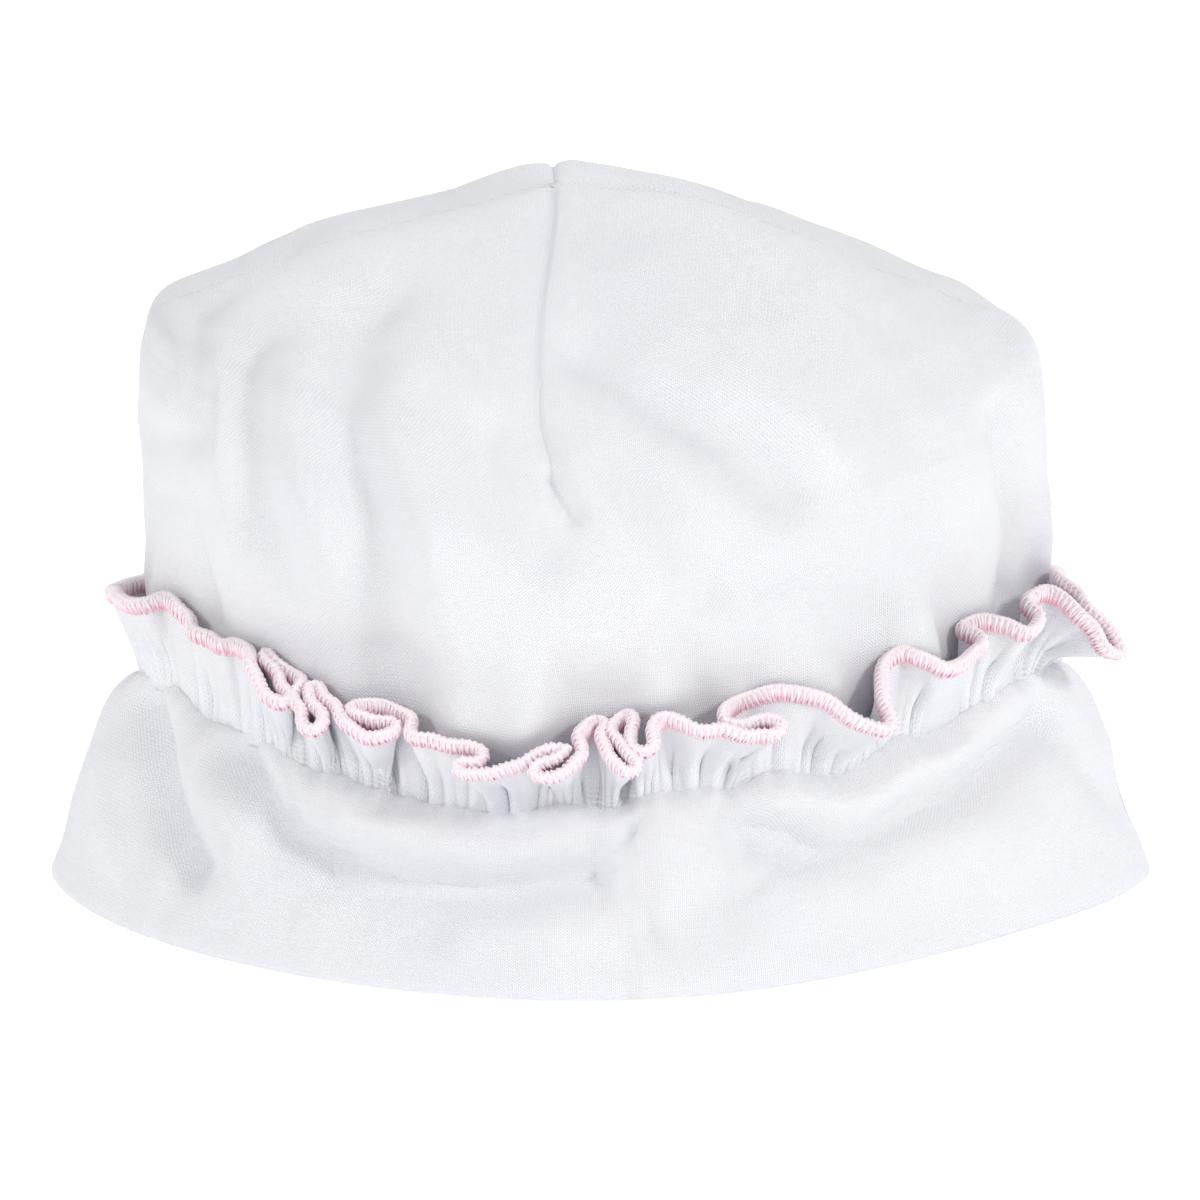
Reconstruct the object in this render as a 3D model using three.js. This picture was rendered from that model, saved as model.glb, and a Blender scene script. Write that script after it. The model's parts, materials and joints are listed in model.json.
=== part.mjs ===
// Baby's knit hat with a turned-up cuff and a gathered ruffle, standing on the fold of its cuff.
// Millimetres, +Z up, the front towards -Y, +X on the right as seen from the front.
// Angles go round the hat in degrees: 0 is +X, -90 is the front, 180 is -X, 90 is the back.
import * as THREE from "three";

// Sizes of the knit and the gaps left between the pieces.
const CROWN_WALL = 1.2;
const CUFF_WALL = 2.2;
const PIECE_GAP = 0.3;

// Sizes of the cuff. Half widths go from the middle of the hat to the outside of the cuff.
// HEM_HEIGHT is where the crown's hem meets the cuff's inner turn, and HEM_TURN is how wide that turn is.
const RIM = { left: 82.6, right: 82.6, front: 66.5, back: 66.5 };
const TOP_EDGE = { left: 69.4, right: 69.8, front: 54.0, back: 54.0 };
const RIM_HEIGHT = 1.8;
const HEM_HEIGHT = 11.0;
const HEM_TURN = 2.0;

// Sizes of the ruffle. It first rises a little from its seam, by STEM_HEIGHT within about STEM_SHARE
// of its height, and then leans out.
const RUFFLE_HEIGHT = 13.5;
const RUFFLE_WALL = 1.0;
const EDGING_RADIUS = 1.0;
const EDGING_SIDES = 4;
const STEM_HEIGHT = 1.3;
const STEM_SHARE = 0.08;

// Plan of the hat: an ellipse for 0.5, and flatter, more pointed ends for larger numbers.
const PLAN_POWER = { left: 0.62, right: 0.86 };

// Angles of the sections in one quarter of the hat.
const QUARTER = [0, 4, 9.5, 16, 23, 30, 37, 44, 51, 58, 65, 72, 79, 85, 88.2];
const ANGLES = [0, 90, 180, 270].flatMap((start) => quarterAngles(start));

// Crown sections from the hem to the top: half widths of the outside and their heights.
const CROWN_RINGS = [
  { left: 75.2, leftZ: 11.3, right: 75.2, rightZ: 11.3, front: 58, frontZ: 11.3, back: 58, backZ: 11.3 },
  { left: 68.8, leftZ: 22, right: 69.2, rightZ: 22, front: 53, frontZ: 19.5, back: 53, backZ: 20 },
  { left: 65.4, leftZ: 33, right: 66, rightZ: 33, front: 50, frontZ: 28, back: 50.3, backZ: 29 },
  { left: 66.2, leftZ: 44, right: 67.6, rightZ: 44, front: 52.2, frontZ: 39, back: 53, backZ: 40 },
  { left: 67.9, leftZ: 55.3, right: 68.4, rightZ: 53.5, front: 55.8, frontZ: 50, back: 56, backZ: 51 },
  { left: 69.3, leftZ: 66, right: 67.8, rightZ: 62, front: 57, frontZ: 60, back: 56.6, backZ: 61 },
  { left: 69.7, leftZ: 76, right: 66.5, rightZ: 73.5, front: 54.8, frontZ: 69.5, back: 54.6, backZ: 70.5 },
  { left: 69, leftZ: 84.5, right: 64.3, rightZ: 83.6, front: 50.5, frontZ: 77.5, back: 50.4, backZ: 78.5 },
  { left: 67.5, leftZ: 90.3, right: 59.3, rightZ: 89.2, front: 44.5, frontZ: 84.5, back: 45, backZ: 85.5 },
  { left: 57.5, leftZ: 94.6, right: 50.2, rightZ: 93.8, front: 37, frontZ: 91.2, back: 36, backZ: 92 },
  { left: 44.5, leftZ: 101, right: 38.5, rightZ: 99.2, front: 29.2, frontZ: 97.2, back: 27, backZ: 97.6 },
  { left: 31, leftZ: 105.6, right: 25.8, rightZ: 104.3, front: 21.8, frontZ: 102.6, back: 18, backZ: 103.6 },
  { left: 18.5, leftZ: 109.2, right: 11.5, rightZ: 108.9, front: 15, frontZ: 107.6, back: 5, backZ: 110.7 },
];
const CROWN_TOP = { x: -6.9, y: -7.5, z: 111.4 };

// One value for each crown section: the plan's powers on the left and the right, the place of the side
// seams from front to back, the side shift of the front and back darts, how far the front panels swell
// upwards between the seams, and how deep the sewn darts and side seams draw the cloth in.
const LEFT_POWER = [0.62, 0.62, 0.61, 0.6, 0.6, 0.58, 0.56, 0.54, 0.52, 0.5, 0.5, 0.5, 0.5];
const RIGHT_POWER = [0.86, 0.86, 0.855, 0.84, 0.77, 0.69, 0.6, 0.56, 0.53, 0.5, 0.5, 0.5, 0.5];
const SIDE_SEAM_Y = [0, 0, 0, 0, 0, 0, 0, 0, 0, -2.5, -5, -6.5, -7.5];
const DART_X = [0, 0, 0, -0.5, -1.5, -3, -4.6, -6.7, -9.1, -9.2, -9, -8, -7.2];
const PETAL_RISE = [0, 0, 0, 0, 0, 0, 0.3, 0.8, 1.4, 1.6, 1.4, 1.2, 0.7];
const DART_DEPTH = [0, 0, 0, 0, 0, 0, 0, 0.6, 0.8, 0.8, 0.8, 0.8, 0.5];
const SIDE_SEAM_DEPTH = [0, 0, 0, 0, 0, 0, 0, 0, 0.3, 0.8, 0.8, 0.8, 0.5];

// Widths of the drawn-in seams, as shares of the crown's half width.
const DART_SPREAD = 0.05;
const SIDE_SEAM_SPREAD = 0.08;

// From this section up the crown closes over the head, and its seams and dents press down more than in.
const CLOSING_RING = 8;
const CLOSING_DENT = { level: 0.5, down: 0.6 };

// The sections that the inside of the crown follows.
const INNER_RINGS = [0, 2, 4, 5, 6, 7, 8, 9, 10, 12];

// Steps in degrees that the directions of the plan and of the crown are taken over.
const PLAN_STEP = 2.5;
const CROWN_STEP = 3;

// Radius that turns the angle of a dent into a length round the hat.
const DENT_RADIUS = { crown: 60, cuff: 62 };

// Dents pressed into the crown, from one angle and height to another. A negative depth is a ridge.
const CROWN_DENTS = [
  { from: [-124, 88], to: [-118, 52], width: 7, depth: 1.6 },
  { from: [-138, 80], to: [-133, 55], width: 6, depth: 1.0 },
  { from: [-127, 84], to: [-124, 62], width: 5, depth: -0.6 },
  { from: [-99, 74], to: [-93, 64], width: 6, depth: 1.3 },
  { from: [-85, 78], to: [-80, 61], width: 7, depth: -1.2 },
  { from: [-84, 89], to: [-64, 72], width: 6, depth: 1.6 },
  { from: [-24, 72], to: [-23, 46], width: 6, depth: 1.2 },
  { from: [-168, 72], to: [-149, 74], width: 4, depth: 0.9 },
  { from: [-163, 62], to: [-148, 63], width: 4, depth: 0.8 },
  { from: [62, 82], to: [75, 52], width: 9, depth: 1.2 },
  { from: [118, 86], to: [108, 58], width: 8, depth: 1.2 },
];

// Dents pressed into the outside of the cuff.
const CUFF_DENTS = [
  { from: [-160, 27], to: [-144, 21], width: 5, depth: 1.0 },
  { from: [-134, 24], to: [-118, 15], width: 5, depth: 1.3 },
  { from: [-112, 19], to: [-91, 19], width: 4, depth: 1.1 },
  { from: [-86.5, 21], to: [-86, 5], width: 4, depth: 0.9 },
  { from: [-64, 24], to: [-30, 25], width: 5, depth: 1.2 },
  { from: [-78, 15], to: [-68, 8], width: 6, depth: 0.9 },
  { from: [40, 22], to: [62, 12], width: 6, depth: 1.0 },
  { from: [112, 18], to: [138, 21], width: 6, depth: 1.0 },
];

// Height of the cuff's top edge round the hat, where it rides up and down under the gathers.
const TOP_HEIGHTS = [
  [-180, 33.9], [-165, 35.4], [-157, 35.8], [-150, 33.4], [-143, 32.5], [-136, 32.4], [-131, 29.9],
  [-124, 29.2], [-115, 27.5], [-107, 26.7], [-100, 26.8], [-95, 28.4], [-89, 28.0], [-84, 30.0],
  [-77, 30.6], [-73, 29.8], [-69, 31.8], [-65, 31.4], [-60, 30.0], [-56, 31.0], [-51, 33.5], [-44, 33.0],
  [-36, 34.8], [-27, 36.0], [-19, 36.4], [-10, 35.4], [0, 33.8], [20, 32.6], [40, 30.6], [60, 29.2],
  [75, 28.2], [90, 28.8], [108, 28.0], [125, 29.6], [142, 30.4], [160, 32.8],
];

// Front half of the ruffle's free edge, from the left side to the right side. Each row is a turn of a
// fold: the angle round the hat and how far the ruffle leans out of the upright, in degrees.
const FRONT_FOLDS = [
  [-172, 25], [-165, 28], [-160.5, 27], [-158.9, 17], [-156.5, 11], [-151, 11], [-146, 14],
  [-142.8, 14], [-141.6, 9], [-139.4, 9], [-136.6, 19], [-133.3, 31], [-130.6, 35.5], [-128.9, 32],
  [-130.9, 20], [-132.9, 12], [-131.2, 8], [-129, 15], [-127, 30], [-125, 43], [-123, 47], [-121.7, 42],
  [-123.1, 31], [-124.6, 21], [-123.6, 15], [-122, 18], [-120.8, 28], [-119.5, 37], [-117.2, 41],
  [-114.8, 39.5], [-113.4, 33], [-114.8, 27], [-117, 22], [-117.4, 16], [-115.8, 12], [-114, 14],
  [-112.6, 22], [-110.8, 30], [-107.8, 33], [-104.6, 34], [-102.2, 38], [-103.2, 44.5], [-105.2, 51],
  [-104.4, 58], [-101.6, 56.5], [-99.6, 48], [-97.8, 41], [-95.6, 38.5], [-94.2, 42], [-95.4, 48],
  [-97.4, 53], [-97.2, 61], [-94.4, 62], [-92.3, 51], [-92.2, 36], [-92.4, 23], [-91.3, 15], [-90, 18],
  [-90.1, 31], [-89.8, 45], [-88.4, 55], [-87.1, 54], [-87.5, 42], [-88, 30], [-87.8, 19], [-86.7, 14],
  [-85.5, 17], [-85.6, 28], [-85.5, 39], [-84.5, 46], [-83.3, 45], [-83.4, 34], [-82.4, 28], [-80.8, 34],
  [-78.4, 40], [-75, 43.5], [-71.8, 46.5], [-70.6, 40], [-72.2, 33], [-74.8, 27.5], [-75.8, 21],
  [-74.2, 14.5], [-71.8, 14], [-70, 19], [-67.6, 26], [-65, 30], [-62.6, 40], [-60.2, 50], [-58.4, 54],
  [-57.2, 49], [-57, 35], [-56, 22], [-54.2, 14], [-52.4, 16], [-51, 26], [-49.4, 36], [-47.2, 39],
  [-44.2, 33], [-41.6, 25], [-40.8, 14], [-39.2, 9], [-37.6, 13], [-36.6, 24], [-34.8, 36], [-32.4, 38],
  [-30.6, 30], [-29.2, 20], [-27, 16], [-24.8, 20], [-23.6, 31], [-22.8, 45], [-21.4, 61], [-18.6, 76],
  [-15.8, 81], [-13.8, 74], [-14.2, 58], [-14.6, 42], [-13.4, 27], [-10.5, 14], [-5, 8], [2, 6.5], [9, 7],
];

// The back half repeats the middle of the front half, half a turn round and leaning a little less.
// Two calm stretches join it to the front half on the right and on the left.
const BACK_REPEAT = { from: -142, to: -41, turn: 180, lean: 0.85 };
const RIGHT_JOIN = [[16, 9], [21, 14], [25.5, 21], [30, 15], [34.5, 10]];
const LEFT_JOIN = [
  [143, 13], [147.5, 22], [152, 27], [156, 21], [160, 12], [166, 9], [172, 10], [177, 19], [182, 27],
];

// The folds draw the strip together at its seam within this length of its edge.
const GATHER_SPREAD = 9;

// Points laid for each turn of a fold, levels of the strip, and the share of its height
// that its direction is taken over.
const FRONT_STEPS = 2;
const BACK_STEPS = 1;
const STRIP_LEVELS = [0, 0.45, 1];
const SLOPE_STEP = 0.08;

// Section of the cuff: up the outside, over the top edge, down the inside to the fold, round the inner
// turn and along the foot. Each row is a line round the cuff: its share of the way from the fold to the
// top edge, its inset, how far it bulges, and its height where that is not set by the share.
const CUFF_OUTSIDE = [
  { share: 0, inset: 3.0, z: 0, dented: false },
  { share: 0, inset: 0.8, z: 0.55, dented: false },
  { share: 0, inset: 0, z: RIM_HEIGHT, dented: false },
  { share: 0.3, inset: 0, bulge: 1.4 },
  { share: 0.62, inset: 0, bulge: 2.2 },
  { share: 0.88, inset: 0, bulge: 1.6 },
  { share: 1, inset: 0, dented: false },
];
const CUFF_INSIDE = [
  { share: 1, inset: CUFF_WALL, dented: false },
  { share: 0.62, inset: CUFF_WALL, bulge: 2.0 },
  { share: 0.3, inset: CUFF_WALL, bulge: 1.2 },
  { share: 0, inset: 2.7, z: 3.4, dented: false },
  { share: 0, inset: 4.6, z: 3.2, dented: false },
];
const CUFF_UNDERSIDE = [
  { share: 0, inset: 7.0, z: 2.4, dented: false },
  { share: 0, inset: 5.6, z: 0, dented: false },
];

function quarterAngles(start) {
  const out = [];
  for (const a of QUARTER) {
    const mirrored = start === 90 || start === 270;
    out.push(mirrored ? start + 90 - a : start + a);
  }
  out.sort((p, q) => p - q);
  return out.map((a) => (a > 180 ? a - 360 : a));
}

function radians(deg) {
  return (deg * Math.PI) / 180;
}

function mix(a, b, share) {
  return a + (b - a) * share;
}

// Value of a smooth curve through four even steps.
function smooth(p0, p1, p2, p3, s) {
  const linear = p2 - p0;
  const square = 2 * p0 - 5 * p1 + 4 * p2 - p3;
  const cube = -p0 + 3 * p1 - 3 * p2 + p3;
  return 0.5 * (2 * p1 + linear * s + square * s * s + cube * s * s * s);
}

// Height of the cuff's top edge at an angle.
function topHeight(deg) {
  const n = TOP_HEIGHTS.length;
  let i = n - 1;
  for (let j = 0; j < n; j += 1) {
    if (TOP_HEIGHTS[j][0] <= deg) i = j;
  }
  if (deg < TOP_HEIGHTS[0][0]) i = n - 1;
  const here = TOP_HEIGHTS[i][0];
  const next = i + 1 < n ? TOP_HEIGHTS[i + 1][0] : TOP_HEIGHTS[0][0] + 360;
  const share = (deg - here) / (next - here);
  const at = (j) => TOP_HEIGHTS[(j + n) % n][1];
  return smooth(at(i - 1), at(i), at(i + 1), at(i + 2), share);
}

// Point of the cuff's plan at an angle, for half widths of each side.
function cuffPlan(deg, half) {
  const c = Math.cos(radians(deg));
  const s = Math.sin(radians(deg));
  const power = mix(PLAN_POWER.left, PLAN_POWER.right, (1 + c) / 2);
  const depth = s > 0 ? half.back : half.front;
  return {
    x: (c > 0 ? half.right : half.left) * c,
    y: Math.sign(s) * depth * Math.abs(s) ** (2 * power),
  };
}

// Outward direction of the plan at an angle, in the level.
function planNormal(deg, half) {
  const before = cuffPlan(deg - PLAN_STEP, half);
  const after = cuffPlan(deg + PLAN_STEP, half);
  const dx = after.x - before.x;
  const dy = after.y - before.y;
  const size = Math.hypot(dx, dy);
  return { x: dy / size, y: -dx / size };
}

// How far a list of dents pushes a point of the outside inwards.
function dentDepth(dents, deg, z, radius) {
  let depth = 0;
  for (const dent of dents) {
    const ax = radians(dent.from[0]) * radius;
    const bx = radians(dent.to[0]) * radius;
    const az = dent.from[1];
    const bz = dent.to[1];
    const px = radians(deg) * radius;
    const length = (bx - ax) ** 2 + (bz - az) ** 2;
    const along = Math.min(1, Math.max(0, ((px - ax) * (bx - ax) + (z - az) * (bz - az)) / length));
    const away = Math.hypot(px - mix(ax, bx, along), z - mix(az, bz, along));
    depth += dent.depth * Math.exp(-((away / dent.width) ** 2));
  }
  return depth;
}

// Outside point of the crown on one ring at an angle.
function crownPoint(ring, deg) {
  const row = CROWN_RINGS[ring];
  const c = Math.cos(radians(deg));
  const s = Math.sin(radians(deg));
  const right = c > 0;
  const back = s > 0;
  const side = right ? row.right : row.left;
  const sideZ = right ? row.rightZ : row.leftZ;
  const depth = back ? row.back : row.front;
  const depthZ = back ? row.backZ : row.frontZ;
  const dart = DART_X[ring];
  const seam = SIDE_SEAM_Y[ring];
  const along = right ? side - dart : side + dart;
  const across = back ? depth - seam : depth + seam;
  const rise = back ? 0 : PETAL_RISE[ring] * Math.sin(2 * radians(deg)) ** 2;
  const z = sideZ * c * c + depthZ * s * s + rise;
  const dartCut = DART_DEPTH[ring] * Math.exp(-((c / DART_SPREAD) ** 2));
  const seamCut = SIDE_SEAM_DEPTH[ring] * Math.exp(-((s / SIDE_SEAM_SPREAD) ** 2));
  const dent = dentDepth(CROWN_DENTS, deg, z, DENT_RADIUS.crown);
  const power = mix(LEFT_POWER[ring], RIGHT_POWER[ring], (1 + c) / 2);
  const closing = ring >= CLOSING_RING;
  const drawnIn = closing ? dent * CLOSING_DENT.level : dent + dartCut + seamCut;
  const drawnDown = closing ? dent * CLOSING_DENT.down + dartCut + seamCut : 0;
  return new THREE.Vector3(
    dart + along * c - drawnIn * c,
    seam + Math.sign(s) * across * Math.abs(s) ** (2 * power) - drawnIn * s,
    z - drawnDown,
  );
}

// Outward direction of the crown on one ring at an angle.
function crownNormal(ring, deg) {
  const last = CROWN_RINGS.length - 1;
  const below = crownPoint(Math.max(0, ring - 1), deg);
  const top = new THREE.Vector3(CROWN_TOP.x, CROWN_TOP.y, CROWN_TOP.z);
  const above = ring < last ? crownPoint(ring + 1, deg) : top;
  const before = crownPoint(ring, deg - CROWN_STEP);
  const after = crownPoint(ring, deg + CROWN_STEP);
  const up = above.sub(below);
  const round = after.sub(before);
  return new THREE.Vector3().crossVectors(round, up).normalize();
}

// A closed band of quads through a list of rings, the last ring joining the first.
function closedBand(rings, name, colour) {
  const count = rings[0].length;
  const points = rings.flat();
  const index = [];
  for (let i = 0; i < rings.length; i += 1) {
    const next = (i + 1) % rings.length;
    for (let j = 0; j < count; j += 1) {
      const k = (j + 1) % count;
      index.push(i * count + j, i * count + k, next * count + k);
      index.push(i * count + j, next * count + k, next * count + j);
    }
  }
  return solid(points, index, name, colour);
}

function solid(points, index, name, colour) {
  const geometry = new THREE.BufferGeometry();
  const flat = points.flatMap((p) => [p.x, p.y, p.z]);
  geometry.setAttribute("position", new THREE.Float32BufferAttribute(flat, 3));
  geometry.setIndex(index);
  geometry.computeVertexNormals();
  const material = new THREE.MeshStandardMaterial({ color: colour, roughness: 0.9, metalness: 0 });
  const mesh = new THREE.Mesh(geometry, material);
  mesh.name = name;
  return mesh;
}

function buildCrown() {
  const outer = CROWN_RINGS.map((row, ring) => ANGLES.map((deg) => crownPoint(ring, deg)));
  const inner = INNER_RINGS.map((ring) =>
    ANGLES.map((deg) => {
      const inside = crownPoint(ring, deg).addScaledVector(crownNormal(ring, deg), -CROWN_WALL);
      if (ring === 0) inside.z = CROWN_RINGS[0].leftZ;
      return inside;
    }),
  );
  const rings = [...inner.reverse(), ...outer];
  const count = ANGLES.length;
  const points = rings.flat();
  const top = new THREE.Vector3(CROWN_TOP.x, CROWN_TOP.y, CROWN_TOP.z);
  const underTop = top.clone();
  underTop.z -= CROWN_WALL;
  const topIndex = points.push(top) - 1;
  const underIndex = points.push(underTop) - 1;
  const index = [];
  for (let i = 0; i + 1 < rings.length; i += 1) {
    for (let j = 0; j < count; j += 1) {
      const k = (j + 1) % count;
      index.push(i * count + j, i * count + k, (i + 1) * count + k);
      index.push(i * count + j, (i + 1) * count + k, (i + 1) * count + j);
    }
  }
  const lastRing = (rings.length - 1) * count;
  for (let j = 0; j < count; j += 1) {
    const k = (j + 1) % count;
    index.push(lastRing + j, lastRing + k, topIndex);
    index.push(k, j, underIndex);
  }
  return solid(points, index, "crown", 0xf1f2f6);
}

// One ring of the cuff: an inset from the outside at a share of its height, or at a set height.
function cuffRing({ share, inset, bulge = 0, z = null, dented = true }) {
  return ANGLES.map((deg) => {
    const half = {};
    for (const side of ["left", "right", "front", "back"]) {
      half[side] = mix(RIM[side], TOP_EDGE[side], share) + bulge - inset;
    }
    const at = cuffPlan(deg, half);
    const height = z === null ? mix(RIM_HEIGHT, topHeight(deg), share) : z;
    const out = planNormal(deg, half);
    const depth = dented ? dentDepth(CUFF_DENTS, deg, height, DENT_RADIUS.cuff) : 0;
    const dent = depth * Math.sin(Math.PI * share);
    return new THREE.Vector3(at.x - out.x * dent, at.y - out.y * dent, height);
  });
}

// One ring of the cuff's inner turn, under the hem of the crown.
function turnRing(inset) {
  const hem = CROWN_RINGS[0];
  const half = {};
  for (const side of ["left", "right", "front", "back"]) half[side] = hem[side] - inset;
  return ANGLES.map((deg) => {
    const at = cuffPlan(deg, half);
    return new THREE.Vector3(at.x, at.y, HEM_HEIGHT);
  });
}

function buildCuff() {
  const rings = [
    ...CUFF_OUTSIDE.map((row) => cuffRing(row)),
    ...CUFF_INSIDE.map((row) => cuffRing(row)),
    turnRing(0),
    turnRing(HEM_TURN),
    ...CUFF_UNDERSIDE.map((row) => cuffRing(row)),
  ];
  return closedBand(rings, "cuff", 0xeff1f5);
}

// The line the ruffle stands on: the middle of the cuff's top edge, with its length run up from the
// first angle.
function ruffleBase() {
  const half = {};
  for (const side of ["left", "right", "front", "back"]) half[side] = TOP_EDGE[side] - CUFF_WALL / 2;
  const marks = [...ANGLES].sort((p, q) => p - q);
  const points = marks.map((deg) => {
    const at = cuffPlan(deg, half);
    return { deg, x: at.x, y: at.y, z: topHeight(deg) + PIECE_GAP, out: planNormal(deg, half) };
  });
  points.push({ ...points[0], deg: points[0].deg + 360 });
  let run = 0;
  points.forEach((p, i) => {
    if (i > 0) run += Math.hypot(p.x - points[i - 1].x, p.y - points[i - 1].y);
    p.run = run;
  });
  return points;
}

const BASE = ruffleBase();
const BASE_LENGTH = BASE[BASE.length - 1].run;

function runAt(deg) {
  const turned = deg < BASE[0].deg ? deg + 360 : deg;
  let i = 0;
  while (i + 2 < BASE.length && BASE[i + 1].deg < turned) i += 1;
  return mix(BASE[i].run, BASE[i + 1].run, (turned - BASE[i].deg) / (BASE[i + 1].deg - BASE[i].deg));
}

function baseAt(run) {
  const turned = ((run % BASE_LENGTH) + BASE_LENGTH) % BASE_LENGTH;
  let i = 0;
  while (i + 2 < BASE.length && BASE[i + 1].run < turned) i += 1;
  const a = BASE[i];
  const b = BASE[i + 1];
  const share = (turned - a.run) / (b.run - a.run);
  const nx = mix(a.out.x, b.out.x, share);
  const ny = mix(a.out.y, b.out.y, share);
  const size = Math.hypot(nx, ny);
  return {
    x: mix(a.x, b.x, share),
    y: mix(a.y, b.y, share),
    z: mix(a.z, b.z, share),
    nx: nx / size,
    ny: ny / size,
  };
}

// Turns of the folds as places on the base line and lengths out of the upright.
function foldTurns() {
  const repeated = FRONT_FOLDS.filter(([deg]) => deg > BACK_REPEAT.from && deg < BACK_REPEAT.to);
  const back = repeated.map(([deg, lean]) => [deg + BACK_REPEAT.turn, lean * BACK_REPEAT.lean]);
  const front = FRONT_FOLDS.map(([deg, lean]) => ({ run: runAt(deg), lean, steps: FRONT_STEPS }));
  const rest = [...RIGHT_JOIN, ...back, ...LEFT_JOIN];
  return [...front, ...rest.map(([deg, lean]) => ({ run: runAt(deg), lean, steps: BACK_STEPS }))];
}

// The free edge: a smooth closed curve through the turns of the folds.
function foldPath() {
  const turns = foldTurns();
  const n = turns.length;
  const path = [];
  const at = (i) => {
    const lap = Math.floor(i / n);
    return { run: turns[i - lap * n].run + lap * BASE_LENGTH, lean: turns[i - lap * n].lean };
  };
  for (let i = 0; i < n; i += 1) {
    const [a, b, c, d] = [at(i - 1), at(i), at(i + 1), at(i + 2)];
    const { steps } = turns[i];
    for (let s = 0; s < steps; s += 1) {
      const share = s / steps;
      path.push({
        run: smooth(a.run, b.run, c.run, d.run, share),
        lean: smooth(a.lean, b.lean, c.lean, d.lean, share),
      });
    }
  }
  let length = 0;
  path.forEach((p, i) => {
    if (i > 0) length += edgeStep(p, path[i - 1]);
    p.length = length;
  });
  const last = path[path.length - 1];
  const total = length + edgeStep(last, { ...path[0], run: path[0].run + BASE_LENGTH });
  path.forEach((p) => {
    p.foot = gatheredFoot(path, p, total);
  });
  return path;
}

function edgeStep(p, q) {
  return Math.hypot(p.run - q.run, (p.lean - q.lean) * radians(1) * RUFFLE_HEIGHT);
}

// Where a point of the free edge is sewn down: the middle of the edge's places for a short way to each side.
function gatheredFoot(path, p, total) {
  const n = path.length;
  let weights = 0;
  let places = 0;
  for (let i = 0; i < n; i += 1) {
    const q = path[i];
    const next = i + 1 < n ? path[i + 1].length : total;
    const before = i > 0 ? path[i - 1].length : path[n - 1].length - total;
    const laps = Math.round((p.length - q.length) / total);
    const away = p.length - q.length - laps * total;
    const weight = (next - before) * Math.exp(-((away / GATHER_SPREAD) ** 2) / 2);
    weights += weight;
    places += weight * (q.run + laps * BASE_LENGTH);
  }
  return places / weights;
}

// A point of the ruffle's middle layer: level 0 on the cuff, level 1 at the pink edge.
function stripPoint(p, level) {
  const at = baseAt(mix(p.foot, p.run, level));
  const lean = radians(p.lean);
  const out = RUFFLE_HEIGHT * Math.sin(lean) * level;
  const stem = STEM_HEIGHT * Math.sin(lean) * (1 - Math.exp(-level / STEM_SHARE));
  const up = RUFFLE_HEIGHT * Math.cos(lean) * level + stem * (1 - level);
  return new THREE.Vector3(at.x + at.nx * out, at.y + at.ny * out, at.z + up);
}

function stripFrame(path, i, level) {
  const n = path.length;
  const before = path[(i - 1 + n) % n];
  const after = path[(i + 1) % n];
  const wrap = (p, lap) => ({ ...p, foot: p.foot + lap * BASE_LENGTH, run: p.run + lap * BASE_LENGTH });
  const a = stripPoint(i === 0 ? wrap(before, -1) : before, level);
  const b = stripPoint(i === n - 1 ? wrap(after, 1) : after, level);
  const along = b.sub(a).normalize();
  const low = stripPoint(path[i], Math.max(0, level - SLOPE_STEP));
  const high = stripPoint(path[i], Math.min(1, level + SLOPE_STEP));
  const up = high.sub(low).normalize();
  const out = new THREE.Vector3().crossVectors(along, up).normalize();
  return { along, up, out };
}

function buildRuffle(path) {
  const reach = (RUFFLE_HEIGHT - EDGING_RADIUS - PIECE_GAP) / RUFFLE_HEIGHT;
  const side = (sign) =>
    STRIP_LEVELS.map((level) =>
      path.map((p, i) => {
        const frame = stripFrame(path, i, level * reach);
        if (level === 0) frame.out.setZ(0).normalize();
        return stripPoint(p, level * reach).addScaledVector(frame.out, (sign * RUFFLE_WALL) / 2);
      }),
    );
  const rings = [...side(1), ...side(-1).reverse()];
  return closedBand(rings, "ruffle", 0xf2f3f7);
}

function buildEdging(path) {
  const rings = [];
  for (let k = 0; k < EDGING_SIDES; k += 1) {
    const turn = (2 * Math.PI * k) / EDGING_SIDES + Math.PI / EDGING_SIDES;
    rings.push(
      path.map((p, i) => {
        const frame = stripFrame(path, i, 1);
        return stripPoint(p, 1)
          .addScaledVector(frame.out, EDGING_RADIUS * Math.sin(turn))
          .addScaledVector(frame.up, -EDGING_RADIUS * Math.cos(turn));
      }),
    );
  }
  return closedBand(rings, "ruffle_edging", 0xf6d3de);
}

const hat = new THREE.Group();
hat.name = "ruffled_hat";
const path = foldPath();
hat.add(buildCrown(), buildCuff(), buildRuffle(path), buildEdging(path));

export default hat;
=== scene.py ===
import json
import logging
import math
from collections.abc import Callable
from dataclasses import astuple, dataclass
from enum import Enum

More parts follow.
